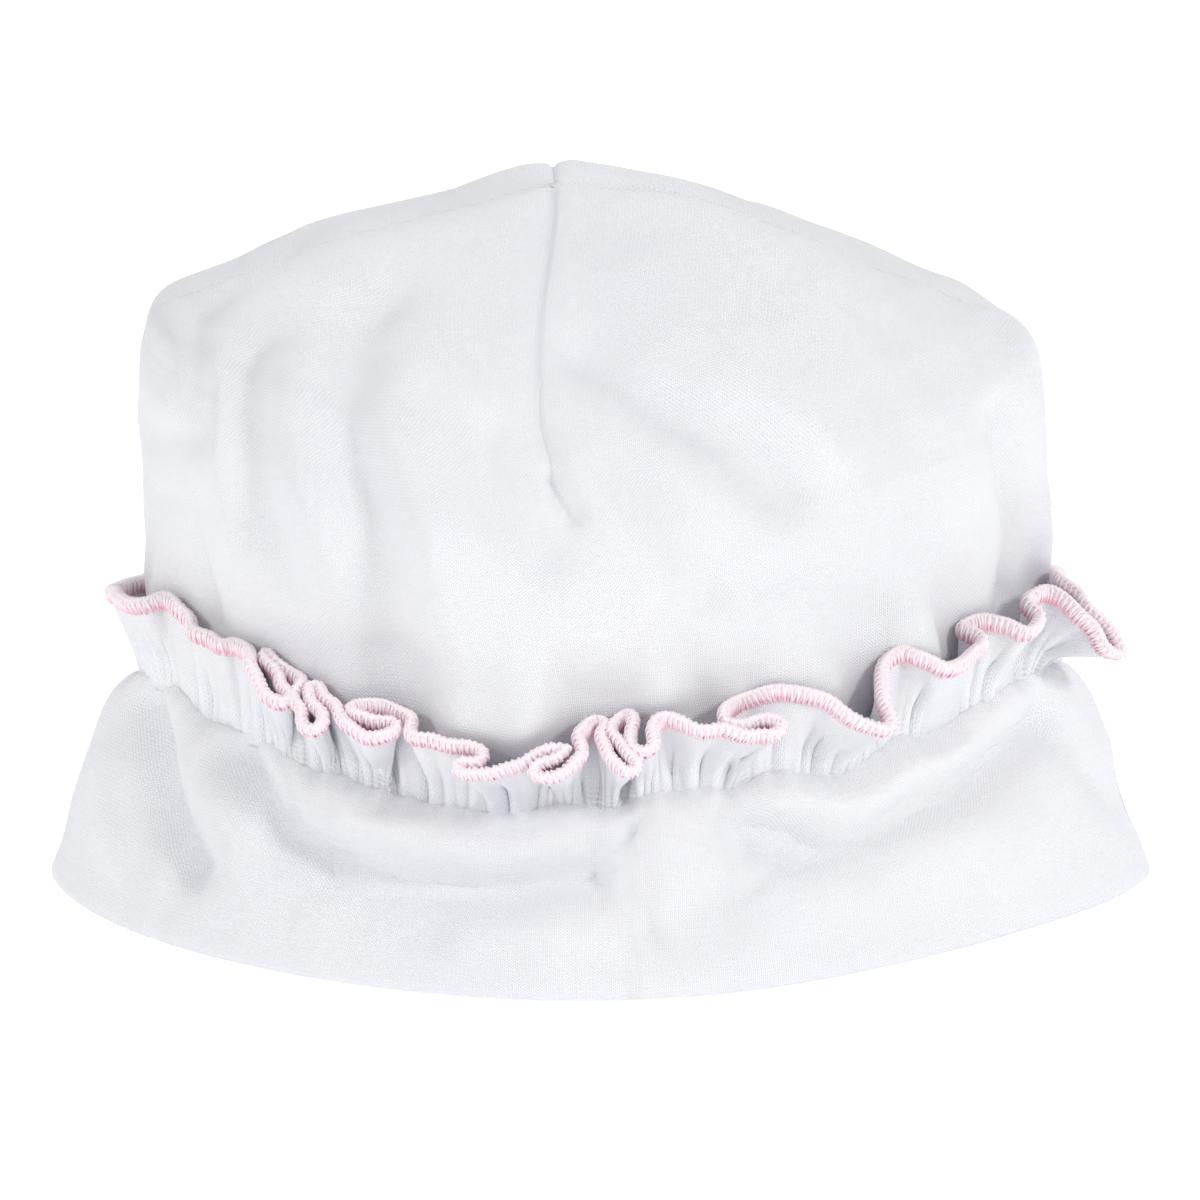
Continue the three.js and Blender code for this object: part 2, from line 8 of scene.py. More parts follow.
import bpy
import numpy as np
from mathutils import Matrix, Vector

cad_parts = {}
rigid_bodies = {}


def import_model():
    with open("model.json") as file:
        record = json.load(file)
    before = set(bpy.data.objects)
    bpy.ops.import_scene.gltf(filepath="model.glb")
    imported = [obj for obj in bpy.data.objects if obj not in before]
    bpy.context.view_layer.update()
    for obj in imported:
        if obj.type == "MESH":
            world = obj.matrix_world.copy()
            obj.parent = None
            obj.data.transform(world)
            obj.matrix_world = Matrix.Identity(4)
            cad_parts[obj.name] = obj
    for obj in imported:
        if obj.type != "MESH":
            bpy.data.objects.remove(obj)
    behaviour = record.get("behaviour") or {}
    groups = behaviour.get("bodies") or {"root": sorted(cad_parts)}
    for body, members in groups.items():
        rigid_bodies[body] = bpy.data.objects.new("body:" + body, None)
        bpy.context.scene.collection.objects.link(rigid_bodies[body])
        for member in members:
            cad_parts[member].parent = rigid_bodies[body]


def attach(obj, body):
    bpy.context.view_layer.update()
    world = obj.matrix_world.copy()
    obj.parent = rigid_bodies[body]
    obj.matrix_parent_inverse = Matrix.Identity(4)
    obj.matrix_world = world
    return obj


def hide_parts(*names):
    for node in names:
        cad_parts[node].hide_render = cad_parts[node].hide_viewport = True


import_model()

LOG = logging.getLogger("ruffled_hat")
MM = 0.001
WELD_GAP = 0.004
THREAD_WELD_GAP = 0.002
CREASE_LINE = 0.2
CREASE_LINE_WIDTH = 0.45


class Half(Enum):
    """The half of the hat that a stretch of cloth is cut for."""

    FRONT = -1
    BACK = 1


class Slant(Enum):
    """The way a thread leans as it wraps the ruffle's edge."""

    RIGHT = 1
    LEFT = -1


# Small tools for shapes


def smooth_rows(rows: np.ndarray, at: np.ndarray) -> np.ndarray:
    """Values of a smooth curve through even rows.

    Args:
        rows: One row for each whole place, with its values in columns.
        at: Places along the rows, of any shape.

    Returns:
        The values at each place, as one more axis.
    """
    last = len(rows) - 1
    at = np.clip(at, 0, last)
    low = np.minimum(at.astype(int), last - 1)
    s = (at - low)[..., None]
    p0, p1 = rows[np.maximum(low - 1, 0)], rows[low]
    p2, p3 = rows[low + 1], rows[np.minimum(low + 2, last)]
    return 0.5 * (
        2 * p1 + (p2 - p0) * s + (2 * p0 - 5 * p1 + 4 * p2 - p3) * s * s + (3 * p1 - p0 - 3 * p2 + p3) * s**3
    )


def fade(value: np.ndarray, start: float, end: float) -> np.ndarray:
    """Soft step from 0 at start to 1 at end."""
    s = np.clip((value - start) / (end - start), 0, 1)
    return s * s * (3 - 2 * s)


def hump(distance: np.ndarray, width: float) -> np.ndarray:
    """Bell curve of height 1 that fades over a width."""
    return np.exp(-((distance / width) ** 2))


def crease(distance: np.ndarray, width: float) -> np.ndarray:
    """A soft dent of depth 1 with a slightly sharper line along its middle."""
    line = CREASE_LINE * hump(distance, CREASE_LINE_WIDTH * width)
    return (1 - CREASE_LINE) * hump(distance, width) + line


def unit(vectors: np.ndarray) -> np.ndarray:
    """The same directions with a length of 1."""
    return vectors / np.maximum(np.linalg.norm(vectors, axis=-1, keepdims=True), 1e-9)


def run_along(points: np.ndarray) -> np.ndarray:
    """Length of a line from its start to each of its points."""
    return np.concatenate([[0.0], np.cumsum(np.linalg.norm(np.diff(points, axis=0), axis=-1))])


@dataclass(frozen=True)
class Swell:
    """Soft random swelling of hand-handled cloth, the same in every run. Height and size in millimetres."""

    height: float
    size: float
    seed: int
    waves: int = 28
    shortest: float = 0.7
    longest: float = 1.6

    def at(self, points: np.ndarray) -> np.ndarray:
        """Adds up plane waves of many headings.

        Args:
            points: Places on the cloth in millimetres.

        Returns:
            How far the cloth stands out at each place, mostly within the height.
        """
        rng = np.random.default_rng(self.seed)
        total = np.zeros(points.shape[:-1])
        for _ in range(self.waves):
            heading = rng.normal(size=3)
            wave_length = self.size * rng.uniform(self.shortest, self.longest)
            heading *= 2 * np.pi / wave_length / np.linalg.norm(heading)
            total += np.sin(points @ heading + rng.uniform(0, 2 * np.pi))
        return self.height * (total / math.sqrt(self.waves / 2))


def ring_normals(places: np.ndarray) -> np.ndarray:
    """Normals of a laid grid whose last column lies on its first.

    Args:
        places: Points by row and column.

    Returns:
        A unit normal for each point.
    """
    ringed = np.concatenate([places[:, -2:-1], places, places[:, 1:2]], axis=1)
    along = ringed[:, 2:] - ringed[:, :-2]
    return unit(np.cross(along, np.gradient(places, axis=0)))


def distance_to_line(points: np.ndarray, line: np.ndarray) -> np.ndarray:
    """Distance from points to a line of straight stretches.

    Args:
        points: The points, on any axes.
        line: The line's corners in order.

    Returns:
        The distance of each point.
    """
    nearest = np.full(points.shape[:-1], np.inf)
    for a, b in zip(line[:-1], line[1:]):
        span = b - a
        share = np.clip(((points - a) @ span) / max(float(span @ span), 1e-9), 0, 1)
        nearest = np.minimum(nearest, np.linalg.norm(points - a - share[..., None] * span, axis=-1))
    return nearest


# Small tools for pieces


def nothing_picked() -> None:
    """Clears the selection."""
    for other in bpy.context.view_layer.objects:
        other.select_set(False)


def pick_only(piece: bpy.types.Object) -> None:
    """Selects one object and makes it the active one.

    Args:
        piece: The object.
    """
    nothing_picked()
    piece.select_set(True)
    bpy.context.view_layer.objects.active = piece


def apply_wall(piece: bpy.types.Object, thickness: float, offset: float) -> None:
    """Gives a cloth its thickness.

    Args:
        piece: The cloth.
        thickness: Wall in millimetres.
        offset: -1 for inwards, 0 for both ways.
    """
    wall = piece.modifiers.new("wall", "SOLIDIFY")
    wall.thickness = thickness * MM
    wall.offset = offset
    wall.use_even_offset = False
    pick_only(piece)
    bpy.ops.object.modifier_apply(modifier=wall.name)


class ClothGrid:
    """A grid of quads that is added flat and then laid into its shape."""

    def __init__(self, name: str, columns: int, rows: int) -> None:
        """Adds the flat grid.

        Args:
            name: Name of the piece.
            columns: Quads along it.
            rows: Quads across it.
        """
        nothing_picked()
        bpy.ops.mesh.primitive_grid_add(x_subdivisions=columns, y_subdivisions=rows, size=2.0, calc_uvs=True)
        self.piece = bpy.context.active_object
        self.piece.name = name
        self.piece.data.name = name
        flat = np.empty(len(self.piece.data.vertices) * 3)
        self.piece.data.vertices.foreach_get("co", flat)
        flat = flat.reshape(-1, 3)
        self.column = np.rint((flat[:, 0] + 1) / 2 * columns).astype(int)
        self.row = np.rint((flat[:, 1] + 1) / 2 * rows).astype(int)

    def lay(self, places: np.ndarray) -> None:
        """Moves the points to their places.

        Args:
            places: Points in millimetres by row and column.
        """
        at = places[self.row, self.column] * MM
        self.piece.data.vertices.foreach_set("co", at.ravel())
        self.piece.data.update()

    def mark_cloth(
        self, cloth: np.ndarray, second: np.ndarray | None = None, second_from: np.ndarray | None = None
    ) -> None:
        """Writes where each point lies on the flat cloth, as the piece's UV map in metres.

        Args:
            cloth: Flat place in millimetres by row and column.
            second: The same for the columns that another cut holds.
            second_from: For each column of quads, whether it is in the second cut.
        """
        mesh = self.piece.data
        corners = np.empty(len(mesh.loops), dtype=int)
        mesh.loops.foreach_get("vertex_index", corners)
        column, row = self.column[corners], self.row[corners]
        flat = cloth[row, column]
        if second is not None and second_from is not None:
            quad_column = np.repeat(column.reshape(-1, 4).min(axis=1), 4)
            other = second_from[quad_column]
            flat[other] = second[row[other], column[other]]
        mesh.uv_layers[0].data.foreach_set("uv", (flat * MM).ravel().astype(np.float32))

    def close(self, gap: float = WELD_GAP) -> None:
        """Welds the edges that meet.

        Args:
            gap: Points nearer than this many millimetres become one.
        """
        pick_only(self.piece)
        bpy.ops.object.mode_set(mode="EDIT")
        bpy.ops.mesh.select_all(action="SELECT")
        bpy.ops.mesh.remove_doubles(threshold=gap * MM)
        bpy.ops.object.mode_set(mode="OBJECT")

    def smooth(self) -> None:
        """Shades the piece smooth."""
        pick_only(self.piece)
        bpy.ops.object.shade_smooth()


# Finishes


class Nodes:
    """A short way to write a material's nodes."""

    def __init__(self, name: str) -> None:
        """Starts an empty material with an output and a main shader.

        Args:
            name: Name of the material.
        """
        self.material = bpy.data.materials.new(name)
        self.material.use_nodes = True
        self.tree = self.material.node_tree
        self.tree.nodes.clear()
        self.output = self.tree.nodes.new("ShaderNodeOutputMaterial")
        self.shader = self.tree.nodes.new("ShaderNodeBsdfPrincipled")
        self.link(self.shader.outputs["BSDF"], self.output.inputs["Surface"])

    def link(self, source: bpy.types.NodeSocket, target: bpy.types.NodeSocket) -> None:
        """Joins two sockets."""
        self.tree.links.new(source, target)

    def put(self, value: object, target: bpy.types.NodeSocket) -> None:
        """Links a socket or sets a plain value.

        Args:
            value: The socket to link from, or the value.
            target: The socket that takes it.
        """
        if isinstance(value, bpy.types.NodeSocket):
            self.link(value, target)
        else:
            target.default_value = value

    def sum(self, how: str, a: object, b: object = 0.0) -> bpy.types.NodeSocket:
        """One step of arithmetic.

        Args:
            how: Blender's name of the operation.
            a: First value or socket.
            b: Second value or socket.

        Returns:
            The result's socket.
        """
        node = self.tree.nodes.new("ShaderNodeMath")
        node.operation = how
        self.put(a, node.inputs[0])
        self.put(b, node.inputs[1])
        return node.outputs[0]

    def cloth_place(self) -> tuple[bpy.types.NodeSocket, bpy.types.NodeSocket]:
        """The two flat coordinates of the cloth.

        Returns:
            The sockets of the places across and along, in metres.
        """
        uv = self.tree.nodes.new("ShaderNodeUVMap")
        split = self.tree.nodes.new("ShaderNodeSeparateXYZ")
        self.link(uv.outputs["UV"], split.inputs["Vector"])
        return split.outputs["X"], split.outputs["Y"]

    def noise(self, scale: float, detail: float = 2.0) -> bpy.types.NodeSocket:
        """Soft noise on the object's own coordinates.

        Args:
            scale: Swells to a metre.
            detail: How many finer layers it has.

        Returns:
            A value round 0.5.
        """
        place = self.tree.nodes.new("ShaderNodeTexCoord")
        node = self.tree.nodes.new("ShaderNodeTexNoise")
        node.inputs["Scale"].default_value = scale
        node.inputs["Detail"].default_value = detail
        self.link(place.outputs["Object"], node.inputs["Vector"])
        return node.outputs["Fac"]

    def wobble(self, scale: float, height: float, detail: float = 2.0) -> bpy.types.NodeSocket:
        """Noise that goes both ways from 0.

        Args:
            scale: Swells to a metre.
            height: What the noise is multiplied by.
            detail: How many finer layers it has.

        Returns:
            The result's socket.
        """
        return self.sum("MULTIPLY", self.sum("SUBTRACT", self.noise(scale, detail), 0.5), height)

    def weighted(self, a: object, a_share: float, b: object, b_share: float) -> bpy.types.NodeSocket:
        """Two values added up by their shares.

        Args:
            a: First value or socket.
            a_share: Its share.
            b: Second value or socket.
            b_share: Its share.

        Returns:
            The result's socket.
        """
        return self.sum("ADD", self.sum("MULTIPLY", a, a_share), self.sum("MULTIPLY", b, b_share))

    def ramp(
        self, value: bpy.types.NodeSocket, stops: tuple[tuple[float, tuple[float, float, float]], ...]
    ) -> bpy.types.NodeSocket:
        """Colours along a value.

        Args:
            value: The value's socket.
            stops: Places from 0 to 1 with their colours.

        Returns:
            The colour's socket.
        """
        node = self.tree.nodes.new("ShaderNodeValToRGB")
        while len(node.color_ramp.elements) < len(stops):
            node.color_ramp.elements.new(0.5)
        for element, (at, colour) in zip(node.color_ramp.elements, stops):
            element.position = at
            element.color = (*colour, 1.0)
        self.link(value, node.inputs["Fac"])
        return node.outputs["Color"]

    def bump(self, height: bpy.types.NodeSocket, distance: float, strength: float) -> bpy.types.NodeSocket:
        """Relief from a height.

        Args:
            height: The height's socket.
            distance: Depth of the relief in metres.
            strength: Share of it that shows.

        Returns:
            The normal's socket.
        """
        node = self.tree.nodes.new("ShaderNodeBump")
        node.inputs["Distance"].default_value = distance
        node.inputs["Strength"].default_value = strength
        self.link(height, node.inputs["Height"])
        return node.outputs["Normal"]

    def surface(
        self, roughness: float, specular: float, sheen: float = 0.0, sheen_roughness: float = 0.5
    ) -> None:
        """Sets what is the same all over the surface.

        Args:
            roughness: Roughness of the surface.
            specular: Strength of its gloss.
            sheen: Strength of its downy sheen.
            sheen_roughness: Roughness of that sheen.
        """
        inputs = self.shader.inputs
        inputs["Roughness"].default_value = roughness
        inputs["Specular IOR Level"].default_value = specular
        inputs["Sheen Weight"].default_value = sheen
        inputs["Sheen Roughness"].default_value = sheen_roughness


@dataclass(frozen=True)
class KnitFinish:
    """White cotton interlock knit: fine columns of slanted stitches with a matt, slightly downy face.

    The colour holds painted shade: it darkens to a lavender shade colour in the stitches' grooves, and it
    also varies in random patches. The stitches' sizes and the relief are in metres. A scale is in swells to a
    metre.
    """

    name: str
    wale: float = 0.00062
    course: float = 0.00050
    slant: float = 0.62
    wander: float = 0.5
    wander_scale: float = 90.0
    down_scale: float = 5200.0
    patch_scale: float = 28.0
    detail: float = 3.0
    loop_share: float = 0.6
    leg_share: float = 0.4
    stitch_height: float = 0.75
    down_height: float = 0.5
    # Share of the colour that is painted shade in the stitches' grooves; the rest follows random patches.
    groove_shade_share: float = 0.6
    patch_tone: float = 0.4
    relief: float = 0.00022
    strength: float = 0.85
    light: tuple[float, float, float] = (0.865, 0.870, 0.895)
    light_tone: float = 0.75
    # Lavender colour of the painted shade in the grooves, also the colour of the darker random patches.
    shade: tuple[float, float, float] = (0.760, 0.762, 0.828)
    shade_tone: float = 0.2
    roughness: float = 0.92
    specular: float = 0.12
    sheen: float = 0.12
    sheen_roughness: float = 0.6

    def make(self) -> bpy.types.Material:
        """Builds the material.

        Returns:
            The knit, for a piece whose UV map holds its flat cloth.
        """
        n = Nodes(self.name)
        across, along = n.cloth_place()
        wander = n.wobble(self.wander_scale, self.wander)
        wales = n.sum("ADD", n.sum("DIVIDE", across, self.wale), wander)
        courses = n.sum("ADD", n.sum("DIVIDE", along, self.course), wander)
        from_middle = n.sum("ABSOLUTE", n.sum("SUBTRACT", n.sum("FRACT", wales), 0.5))
        legs = n.sum("SINE", n.sum("MULTIPLY", n.sum("FRACT", n.sum("MULTIPLY", wales, 2.0)), math.pi))
        phase = n.sum("ADD", courses, n.sum("MULTIPLY", from_middle, 2 * self.slant))
        loops = n.sum("ABSOLUTE", n.sum("SINE", n.sum("MULTIPLY", phase, math.pi)))
        stitch = n.weighted(loops, self.loop_share, legs, self.leg_share)
        down = n.noise(self.down_scale, self.detail)
        height = n.weighted(stitch, self.stitch_height, down, self.down_height)
        # Painted shade: the colour darkens where the stitches dip, and it varies in random patches.
        tone = n.weighted(stitch, self.groove_shade_share, n.noise(self.patch_scale), self.patch_tone)
        colours = n.ramp(tone, ((self.shade_tone, self.shade), (self.light_tone, self.light)))
        n.link(colours, n.shader.inputs["Base Color"])
        n.link(n.bump(height, self.relief, self.strength), n.shader.inputs["Normal"])
        n.surface(self.roughness, self.specular, self.sheen, self.sheen_roughness)
        return n.material


@dataclass(frozen=True)
class ThreadFinish:
    """Fluffy pale pink sewing thread, deeper pink where it goes into the cloth.

    The relief is in metres. A scale is in swells to a metre.
    """

    name: str
    pale: tuple[float, float, float] = (0.96, 0.855, 0.895)
    pale_tone: float = 0.38
    deep: tuple[float, float, float] = (0.93, 0.52, 0.62)
    deep_tone: float = 0.95
    patch: float = 0.6
    patch_scale: float = 900.0
    fluff: float = 0.7
    fluff_scale: float = 3200.0
    fibre_scale: float = 6500.0
    fibre_detail: float = 4.0
    detail: float = 3.0
    relief: float = 0.00014
    strength: float = 0.9
    roughness: float = 0.88
    specular: float = 0.15
    sheen: float = 0.3
    sheen_roughness: float = 0.5

    def make(self) -> bpy.types.Material:
        """Builds the material.

        Returns:
            The thread, for a piece whose UV map holds a thousandth of how low each point is.
        """
        n = Nodes(self.name)
        _, depth = n.cloth_place()
        patch = n.wobble(self.patch_scale, self.patch, self.detail)
        fluff = n.wobble(self.fluff_scale, self.fluff, self.detail)
        tone = n.sum("ADD", n.sum("MULTIPLY", depth, 1 / MM), n.sum("ADD", patch, fluff))
        colours = n.ramp(tone, ((self.pale_tone, self.pale), (self.deep_tone, self.deep)))
        n.link(colours, n.shader.inputs["Base Color"])
        fibres = n.noise(self.fibre_scale, self.fibre_detail)
        n.link(n.bump(fibres, self.relief, self.strength), n.shader.inputs["Normal"])
        n.surface(self.roughness, self.specular, self.sheen, self.sheen_roughness)
        return n.material


@dataclass(frozen=True)
class FloorFinish:
    """Plain white paper floor, lit a little from below as a product table is."""

    name: str
    colour: tuple[float, float, float] = (0.97, 0.97, 0.97)
    glow: float = 0.27
    roughness: float = 0.9
    specular: float = 0.1

    def make(self) -> bpy.types.Material:
        """Builds the material.

        Returns:
            The paper.
        """
        n = Nodes(self.name)
        n.shader.inputs["Base Color"].default_value = (*self.colour, 1.0)
        n.shader.inputs["Emission Color"].default_value = (1.0, 1.0, 1.0, 1.0)
        n.shader.inputs["Emission Strength"].default_value = self.glow
        n.surface(self.roughness, self.specular)
        return n.material


@dataclass(frozen=True)
class PhotoCamera:
    """Where the photograph was taken from, in metres and degrees, and how large its pixels are.

    The photograph's middle shows the target.
    """

    elevation: float = 16.0
    distance: float = 6.0
    target: tuple[float, float, float] = (-0.00015, 0.0, 0.04385)
    lens: float = 1200.0
    sensor: float = 36.0
    clip_end: float = 20.0
    middle: float = 600.0
    mm_per_pixel: float = 0.15

    def seen(self, places: np.ndarray) -> np.ndarray:
        """Where points show in the photograph.

        Args:
            places: Points in millimetres.

        Returns:
            Pixels from the left and from the top, on the last axis.
        """
        tilt = math.radians(self.elevation)
        off = places - np.array(self.target) / MM
        up = off[..., 1] * math.sin(tilt) + off[..., 2] * math.cos(tilt)
        toward = off[..., 2] * math.sin(tilt) - off[..., 1] * math.cos(tilt)
        grow = 1 / (self.mm_per_pixel * (1 - toward * MM / self.distance))
        return np.stack([self.middle + off[..., 0] * grow, self.middle - up * grow], axis=-1)


# The crown


@dataclass(frozen=True)
class CrownRing:
    """One section of the crown in millimetres: its four half widths with their heights, and its seams."""

    left: float
    left_z: float
    right: float
    right_z: float
    front: float
    front_z: float
    back: float
    back_z: float
    seam_y: float = 0.0
    dart_x: float = 0.0
    rise: float = 0.0
    left_power: float = 0.5
    right_power: float = 0.5


CROWN_RINGS = (
    CrownRing(75.2, 11.3, 75.2, 11.3, 58.0, 11.3, 58.0, 11.3, 0, 0, 0, 0.62, 0.86),
    CrownRing(68.8, 22.0, 69.2, 22.0, 53.0, 19.5, 53.0, 20.0, 0, 0, 0, 0.62, 0.86),
    CrownRing(66.8, 33.0, 67.2, 33.0, 52.2, 28.0, 52.0, 29.0, 0, 0, 0, 0.61, 0.855),
    CrownRing(67.6, 44.0, 68.4, 44.0, 54.6, 38.5, 54.4, 40.0, 0, -0.5, 0, 0.60, 0.84),
    CrownRing(68.3, 55.3, 68.5, 53.5, 58.4, 49.0, 57.4, 51.0, 0, -1.5, 0, 0.60, 0.77),
    CrownRing(69.3, 66.0, 67.8, 62.0, 58.6, 59.5, 57.4, 61.0, 0, -3.0, 0, 0.58, 0.69),
    CrownRing(69.7, 76.0, 66.5, 73.5, 55.8, 69.5, 55.0, 70.5, 0, -4.6, 0.3, 0.56, 0.60),
    CrownRing(69.0, 84.5, 64.3, 83.6, 50.5, 77.5, 50.4, 78.5, 0, -6.7, 0.8, 0.54, 0.56),
    CrownRing(66.7, 90.3, 58.0, 89.0, 44.5, 84.5, 45.0, 85.5, 0, -9.1, 1.4, 0.52, 0.53),
    CrownRing(57.0, 94.6, 49.2, 93.8, 37.0, 91.2, 36.0, 92.0, -2.5, -9.2, 1.6),
    CrownRing(43.2, 101.0, 39.2, 99.3, 29.2, 97.2, 27.0, 97.6, -5.0, -9.0, 1.4),
    CrownRing(29.2, 105.6, 27.4, 104.6, 21.8, 102.6, 18.0, 103.6, -6.5, -8.0, 1.2),
    CrownRing(17.6, 109.2, 13.0, 109.1, 15.0, 107.6, 5.0, 110.7, -7.5, -7.2, 0.7),
    CrownRing(6.9, 111.4, -6.9, 111.4, 7.5, 111.4, -7.5, 111.4, -7.5, -6.9, 0.0),
)


@dataclass(frozen=True)
class Dent:
    """A dent in the cloth, in millimetres. A negative depth is a ridge.

    Its line runs through places of an angle and a ring on the crown, or an angle and a share of the height
    on the cuff.
    """

    line: tuple[tuple[float, float], ...]
    width: float
    depth: float
    steps: int = 8

    def press(
        self, places: np.ndarray, outside: Callable[[np.ndarray, np.ndarray], np.ndarray]
    ) -> np.ndarray:
        """How deep the dent goes at each point.

        Args:
            places: Points of the cloth.
            outside: Gives the points of the smooth cloth at angles and rings or shares.

        Returns:
            Depths in millimetres.
        """
        knots = np.array(self.line, dtype=float)
        last = len(knots) - 1
        track = smooth_rows(knots, np.linspace(0, last, self.steps * last + 1))
        line = outside(track[:, 0], track[:, 1])
        return self.depth * crease(distance_to_line(places, line), self.width)


CROWN_DENTS = (
    Dent(((-129, 9.7), (-121, 8.2), (-120, 6.8), (-117, 5.5), (-118, 3.9)), 6.6, 4.2),
    Dent(((-130, 8.4), (-126, 7.0), (-125, 5.4)), 3.6, -1.5),
    Dent(((-112, 8.4), (-109, 6.9), (-108, 5.6)), 5.0, -1.7),
    Dent(((-141, 8.3), (-138, 7.2), (-136, 6.1), (-133, 4.6)), 4.8, 2.8),
    Dent(((-146, 7.8), (-143, 6.2), (-141, 4.9)), 4.0, -1.1),
    Dent(((-163, 8.6), (-150, 7.7), (-147, 6.4)), 4.6, 1.8),
    Dent(((-99, 7.6), (-99, 6.5), (-94, 5.8)), 5.2, 3.4),
    Dent(((-86, 7.2), (-84, 6.2), (-81, 5.3)), 5.8, -3.4),
    Dent(((-90.6, 6.95), (-89.8, 6.6), (-89.0, 6.35)), 1.9, 2.2),
    Dent(((-84, 9.1), (-72, 7.9), (-66, 7.2), (-62, 6.4)), 5.0, 3.4),
    Dent(((-76, 7.2), (-70, 6.4)), 3.6, -0.8),
    Dent(((-62, 11.6), (-52, 10.4), (-47, 9.0), (-43, 6.9)), 6.0, 1.3),
    Dent(((-69, 10.7), (-60, 8.2), (-55, 6.8)), 4.8, -1.4),
    Dent(((-33, 9.2), (-33, 7.4)), 5.0, 1.4),
    Dent(((-72, 5.0), (-54, 4.4)), 8.0, 2.4),
    Dent(((-46, 5.6), (-40, 4.4)), 5.0, 1.3),
    Dent(((-24, 6.4), (-22, 4.7), (-25, 3.6)), 3.8, 3.2),
    Dent(((-12, 6.4), (-11, 4.2)), 4.0, -1.4),
    Dent(((-172, 5.6), (-164, 5.7), (-149, 6.3)), 3.0, 1.1),
    Dent(((-168, 4.7), (-148, 5.2)), 3.0, 1.0),
    Dent(((-153, 4.6), (-150, 3.4)), 3.6, 1.8),
    Dent(((62, 8.8), (70, 7.0), (74, 4.8)), 6.4, 3.4),
    Dent(((40, 7.6), (36, 5.2)), 5.2, 2.5),
    Dent(((104, 8.2), (100, 6.4)), 5.2, 2.7),
    Dent(((122, 8.9), (116, 6.8), (112, 4.6)), 6.0, 3.2),
    Dent(((146, 7.4), (150, 4.8)), 5.2, 2.5),
    Dent(((12, 6.8), (14, 4.4)), 4.2, 2.0),
)


@dataclass(frozen=True)
class SewnSeam:
    """How a seam draws the crown in: sharply along its stitches, and in a soft valley round them.

    It starts at a ring and comes in over a stretch of rings before and after it. Depths and widths are in
    millimetres.
    """

    start: float
    before: float
    after: float
    stitch_depth: float
    stitch_width: float
    valley_depth: float
    valley_width: float

    def shown(self, ring: np.ndarray) -> np.ndarray:
        """Share of the seam that shows at each ring."""
        return fade(ring, self.start - self.before, self.start + self.after)

    def pull(self, off: np.ndarray) -> np.ndarray:
        """Depth at distances from the stitches."""
        stitches = self.stitch_depth * hump(off, self.stitch_width)
        return stitches + self.valley_depth * hump(off, self.valley_width)


DART = SewnSeam(6.75, 0.12, 0.45, stitch_depth=0.62, stitch_width=0.5, valley_depth=0.45, valley_width=2.6)
SIDE_SEAM = SewnSeam(8.15, 0.35, 0.4, stitch_depth=0.55, stitch_width=0.5, valley_depth=0.5, valley_width=2.4)
CROWN_SWELLS = (Swell(0.42, 34.0, seed=11), Swell(0.16, 12.0, seed=12))


@dataclass(frozen=True)
class Settling:
    """How the crown's cloth settles against the ruffle's folds, in millimetres.

    It moves inwards where a fold is nearer than the clearance, and outwards where one is further off, by a
    share of the rest. A level is a share of the ruffle's height. A pair gives where the settling starts to
    change and where it has changed.
    """

    clearance: float = 1.7
    follow: float = 0.92
    most_in: float = 3.5
    most_out: float = 8.5
    full_level: float = 0.95
    fade_level: float = 0.9
    fade_above: tuple[float, float] = (-2.0, 17.0)
    start_height: tuple[float, float] = (14.0, 26.0)
    side_calm: tuple[float, float] = (0.1, 0.36)


